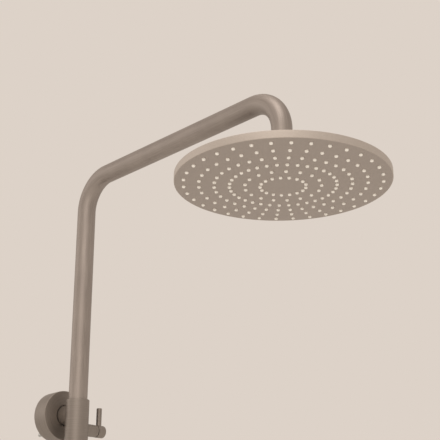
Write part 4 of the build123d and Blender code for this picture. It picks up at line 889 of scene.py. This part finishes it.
# The nut that holds the column: its thread's radius, its outside, the hole for the tube, and its heights
NUT_THREAD = 14.5
NUT_RADIUS = 16.5
NUT_HOLE = 12.3
NUT_LOW = 21.5
NUT_STEP = 32.0
NUT_TOP = 36.0
nut_outline = [(NUT_THREAD, NUT_LOW), (NUT_RADIUS, NUT_LOW, 0.8), (NUT_RADIUS, NUT_TOP, 1.3)]
nut_outline += [(NUT_HOLE, NUT_TOP, 0.3), (NUT_HOLE, NUT_STEP), (NUT_THREAD, NUT_STEP)]
nickel("tube_nut", [turned(COLUMN, nut_outline)], "base", "column_nut")

covers = [wall_cover(across, 0, 11.6, 13.3) for across in INLETS]
nickel("inlet_covers", covers, "base", "union_rosettes")

# The inlets' nuts: flats 30 mm apart, corners chamfered at both ends
FLAT = 15.0
CORNER = 17.32
HEX_BORE = 10.3
HEX_LOW, HEX_HIGH = 12.2, 27.7
CHAMFER = 1.6
hex_outline = [(HEX_BORE, HEX_LOW), (FLAT + 0.1, HEX_LOW), (CORNER, HEX_LOW + CHAMFER)]
hex_outline += [(CORNER, HEX_HIGH - CHAMFER), (FLAT + 0.1, HEX_HIGH), (HEX_BORE, HEX_HIGH, 0.3)]
nuts = [hex_nut(from_wall(across, 0), FLAT, hex_outline) for across in INLETS]
nickel("inlet_nuts", nuts, "base", "union_nuts")


def handle(spot):
    """A hollow handle of the bar's own diameter, with a softened outer end and a socket for its cap."""
    return turned(
        spot,
        [
            (HANDLE_BORE, HANDLE_START),
            (BAR_RADIUS, HANDLE_START, 0.9),
            (BAR_RADIUS, HANDLE_END, 1.6),
            (CAP_SEAT, HANDLE_END, 0.3),
            (CAP_SEAT, HANDLE_END - CAP_DEPTH),
            (CAP_SHANK, HANDLE_END - CAP_DEPTH),
            (CAP_SHANK, SPINDLE_END),
            (SPINDLE_BORE, SPINDLE_END),
            (SPINDLE_BORE, HUB_START),
            (HUB_WIDTH, HUB_START, 0.3),
            (HUB_WIDTH, HANDLE_FLOOR),
            (HANDLE_BORE, HANDLE_FLOOR),
        ],
        columns=128,
    )


def handle_cap(spot):
    """The cap screw in a handle's end: a shallow dome with a softened edge on its shank."""
    shank, head = CAP_SHANK - CAP_PLAY, CAP_SEAT - CAP_PLAY
    tip, seat = 112.0, HANDLE_END - CAP_DEPTH
    outline = [(0, tip), (shank, tip), (shank, seat), (head, seat)]
    outline += [(head, HANDLE_END - 0.3, 0.7), (0, HANDLE_END - 0.1)]
    return turned(spot, outline, columns=64)


for name, spot, side in (("temp", BAR, 1), ("flow", HOT_END, -1)):
    body = name + "_control"
    nickel(name + "_grip", [handle(spot)], body, name + "_handle")
    lever = pin(side * HANDLE_PIN_X, MIXER_Y, 0, *LEVER_PIN)
    nickel(name + "_pin", [lever], body, name + "_lever")
    nickel(name + "_screw", [handle_cap(spot)], body, name + "_cap")

scale_angles = np.arange(INDEX_ANGLE - TURN_ON, INDEX_ANGLE + TURN_BACK + 1, MARK_STEP)
scale = printed_marks(BAR, scale_angles, HANDLE_START + 1.6, HANDLE_START + 4.4, 0.6)
piece("temp_scale", [scale], INK_FINISH, "temp_control", [])
index = printed_marks(BAR, [INDEX_ANGLE], BAR_HALF - 5.0, BAR_HALF - 1.4, 0.9)
piece("temp_index", [index], INK_FINISH, "base", [])
printed_number("temp_mark_38", "38", 4.6, BAR, HANDLE_START + 6.0, INDEX_ANGLE, INK_FINISH, "temp_control")

# The safety button stands out of the handle's front, with a flange behind the handle's wall
BUTTON_X = 106
front = place((BUTTON_X, MIXER_Y, 0), (0, -1, 0), (0, 0, 1))
button_outline = [(0, 15.5), (5.0, 15.5), (5.0, 16.9), (4.0, 16.9), (4.0, 23.4, 0.9), (0, 23.4)]
button = turned(front, button_outline, columns=48)
piece("safety_button", [button], BUTTON, "stop", ["stop_button"])

# --- Hand shower holder ---------------------------------------------------------------------

carrier = turned(
    place((0, RISER_Y, HOLDER_Z), (0, 0, 1), (0, 1, 0)),
    [
        (CARRIER_BORE, -CARRIER_HALF, 0.3),
        (CARRIER_RADIUS, -CARRIER_HALF, 1.1),
        (CARRIER_RADIUS, CARRIER_HALF, 1.1),
        (CARRIER_BORE, CARRIER_HALF, 0.3),
        (CARRIER_BORE, RING_HALF),
        (RING_SEAT, RING_HALF),
        (RING_SEAT, -RING_HALF),
        (CARRIER_BORE, -RING_HALF),
    ],
)
HUB_END = 17.5
CLIP_HUB_END = 20.4
to_clip = place((0, RISER_Y, HOLDER_Z), (1, 0, 0), (0, 0, 1))
hub = branch(CARRIER_RADIUS, to_clip, HUB_RADIUS, [(HUB_RADIUS, HUB_END, 0.3), (0, HUB_END)], 0.4)
holder_neck = knob_neck(CARRIER_RADIUS, -1, HOLDER_Z, HOLDER_NECK)
nickel("holder_carrier", [carrier, hub, holder_neck], "holder", "holder_slider")

from_clip = place((CLIP_X, RISER_Y, HOLDER_Z), (-1, 0, 0), (0, 0, 1))
clip_hub_outline = [(HUB_RADIUS, CLIP_HUB_END, 0.5), (0, CLIP_HUB_END)]
clip_hub = branch(CLIP_RADIUS, from_clip, HUB_RADIUS, clip_hub_outline, 1.0)
nickel("holder_clip", [cradle_shell(), clip_hub], "cradle", "holder_cradle")
nickel("holder_grip", [clamp_knob(-1, HOLDER_Z, HOLDER_NECK)], "holder_screw", "holder_knob")
holder_pin = pin(-HOLDER_NECK - PIN_PAST_NECK, RISER_Y, HOLDER_Z, *KNOB_PIN)
nickel("holder_tommy", [holder_pin], "holder_screw", "holder_lever")

# --- Carried-over pieces --------------------------------------------------------------------

for name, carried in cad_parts.items():
    if carried.hide_render:
        continue
    slot_name = carried.data.materials[0].name.split(".")[0]
    carried.data.materials[0] = SLOT_FINISH[slot_name]

# --- Room and light -------------------------------------------------------------------------


def floor():
    """A wide, pale, matt floor just under the object: one square with its corners at +-reach."""
    low, reach = -60.0 * MM, 4e4 * MM
    mesh = bpy.data.meshes.new("floor")
    corners = [(x * reach, y * reach, low) for x, y in ((-1, -1), (1, -1), (1, 1), (-1, 1))]
    mesh.from_pydata(corners, [], [(0, 1, 2, 3)])
    made = bpy.data.objects.new("floor", mesh)
    bpy.context.scene.collection.objects.link(made)
    material, tree, shader = start("pale_plaster_floor")
    marks = grain(tree, 60.0, 4.0)
    tree.links.new(ramp(tree, marks, "E1DCD7", "E5E0DB"), shader.inputs["Base Color"])
    shader.inputs["Roughness"].default_value = 0.9
    mesh.materials.append(material)


def lamp(name, spot, target, width, height, power, tint):
    """A soft rectangular lamp that faces a point; places in millimetres."""
    data = bpy.data.lights.new(name, "AREA")
    data.shape = "RECTANGLE"
    data.size = width * MM
    data.size_y = height * MM
    data.energy = power
    data.color = linear(tint)[:3]
    made = bpy.data.objects.new(name, data)
    made.location = Vector(spot) * MM
    made.rotation_euler = (Vector(target) - Vector(spot)).to_track_quat("-Z", "Y").to_euler()
    bpy.context.scene.collection.objects.link(made)


floor()
lamp("key", (-1900, -1900, 900), (0, -300, 950), 1600, 1600, 10, "FFF7F0")
lamp("top", (-700, -800, 2400), (0, -250, 700), 1000, 1000, 9, "FFF9F4")
lamp("back", (-1500, 1700, 1500), (0, -200, 900), 1600, 1600, 5, "FFFAF6")

# The surroundings light the object evenly; seen directly or in gloss they are the backdrop's own colour
world = bpy.data.worlds.new("studio")
bpy.context.scene.world = world
world.use_nodes = True
sky = world.node_tree
sky.nodes.clear()
path = node(sky, "ShaderNodeLightPath")
either = {0: path.outputs["Is Camera Ray"], 1: path.outputs["Is Glossy Ray"]}
seen = node(sky, "ShaderNodeMath", either, operation="MAXIMUM")
either = {0: seen.outputs[0], 1: path.outputs["Is Transmission Ray"]}
seen = node(sky, "ShaderNodeMath", either, operation="MAXIMUM")
light = node(sky, "ShaderNodeBackground", {"Color": linear("F3EDE6"), "Strength": 1.0})
shown = node(sky, "ShaderNodeBackground", {"Color": linear("DDD2C8"), "Strength": 1.0})
blend = node(sky, "ShaderNodeMixShader", {0: seen.outputs[0], 1: light.outputs[0], 2: shown.outputs[0]})
node(sky, "ShaderNodeOutputWorld", {"Surface": blend.outputs[0]})

# --- Camera ---------------------------------------------------------------------------------

# The camera looks up at 20 degrees from the left front of the riser; its place and direction are in metres
camera_data = bpy.data.cameras.new("camera")
camera_data.sensor_width = 36.0
camera_data.lens = 85.89
camera_data.clip_end = 60
camera = bpy.data.objects.new("camera", camera_data)
camera.location = (-0.7149, -1.0486, 0.5896)
camera.rotation_euler = Vector((0.6424, 0.6842, 0.3453)).to_track_quat("-Z", "Y").to_euler()
bpy.context.scene.collection.objects.link(camera)
bpy.context.scene.camera = camera

bpy.context.scene.view_settings.view_transform = "Standard"
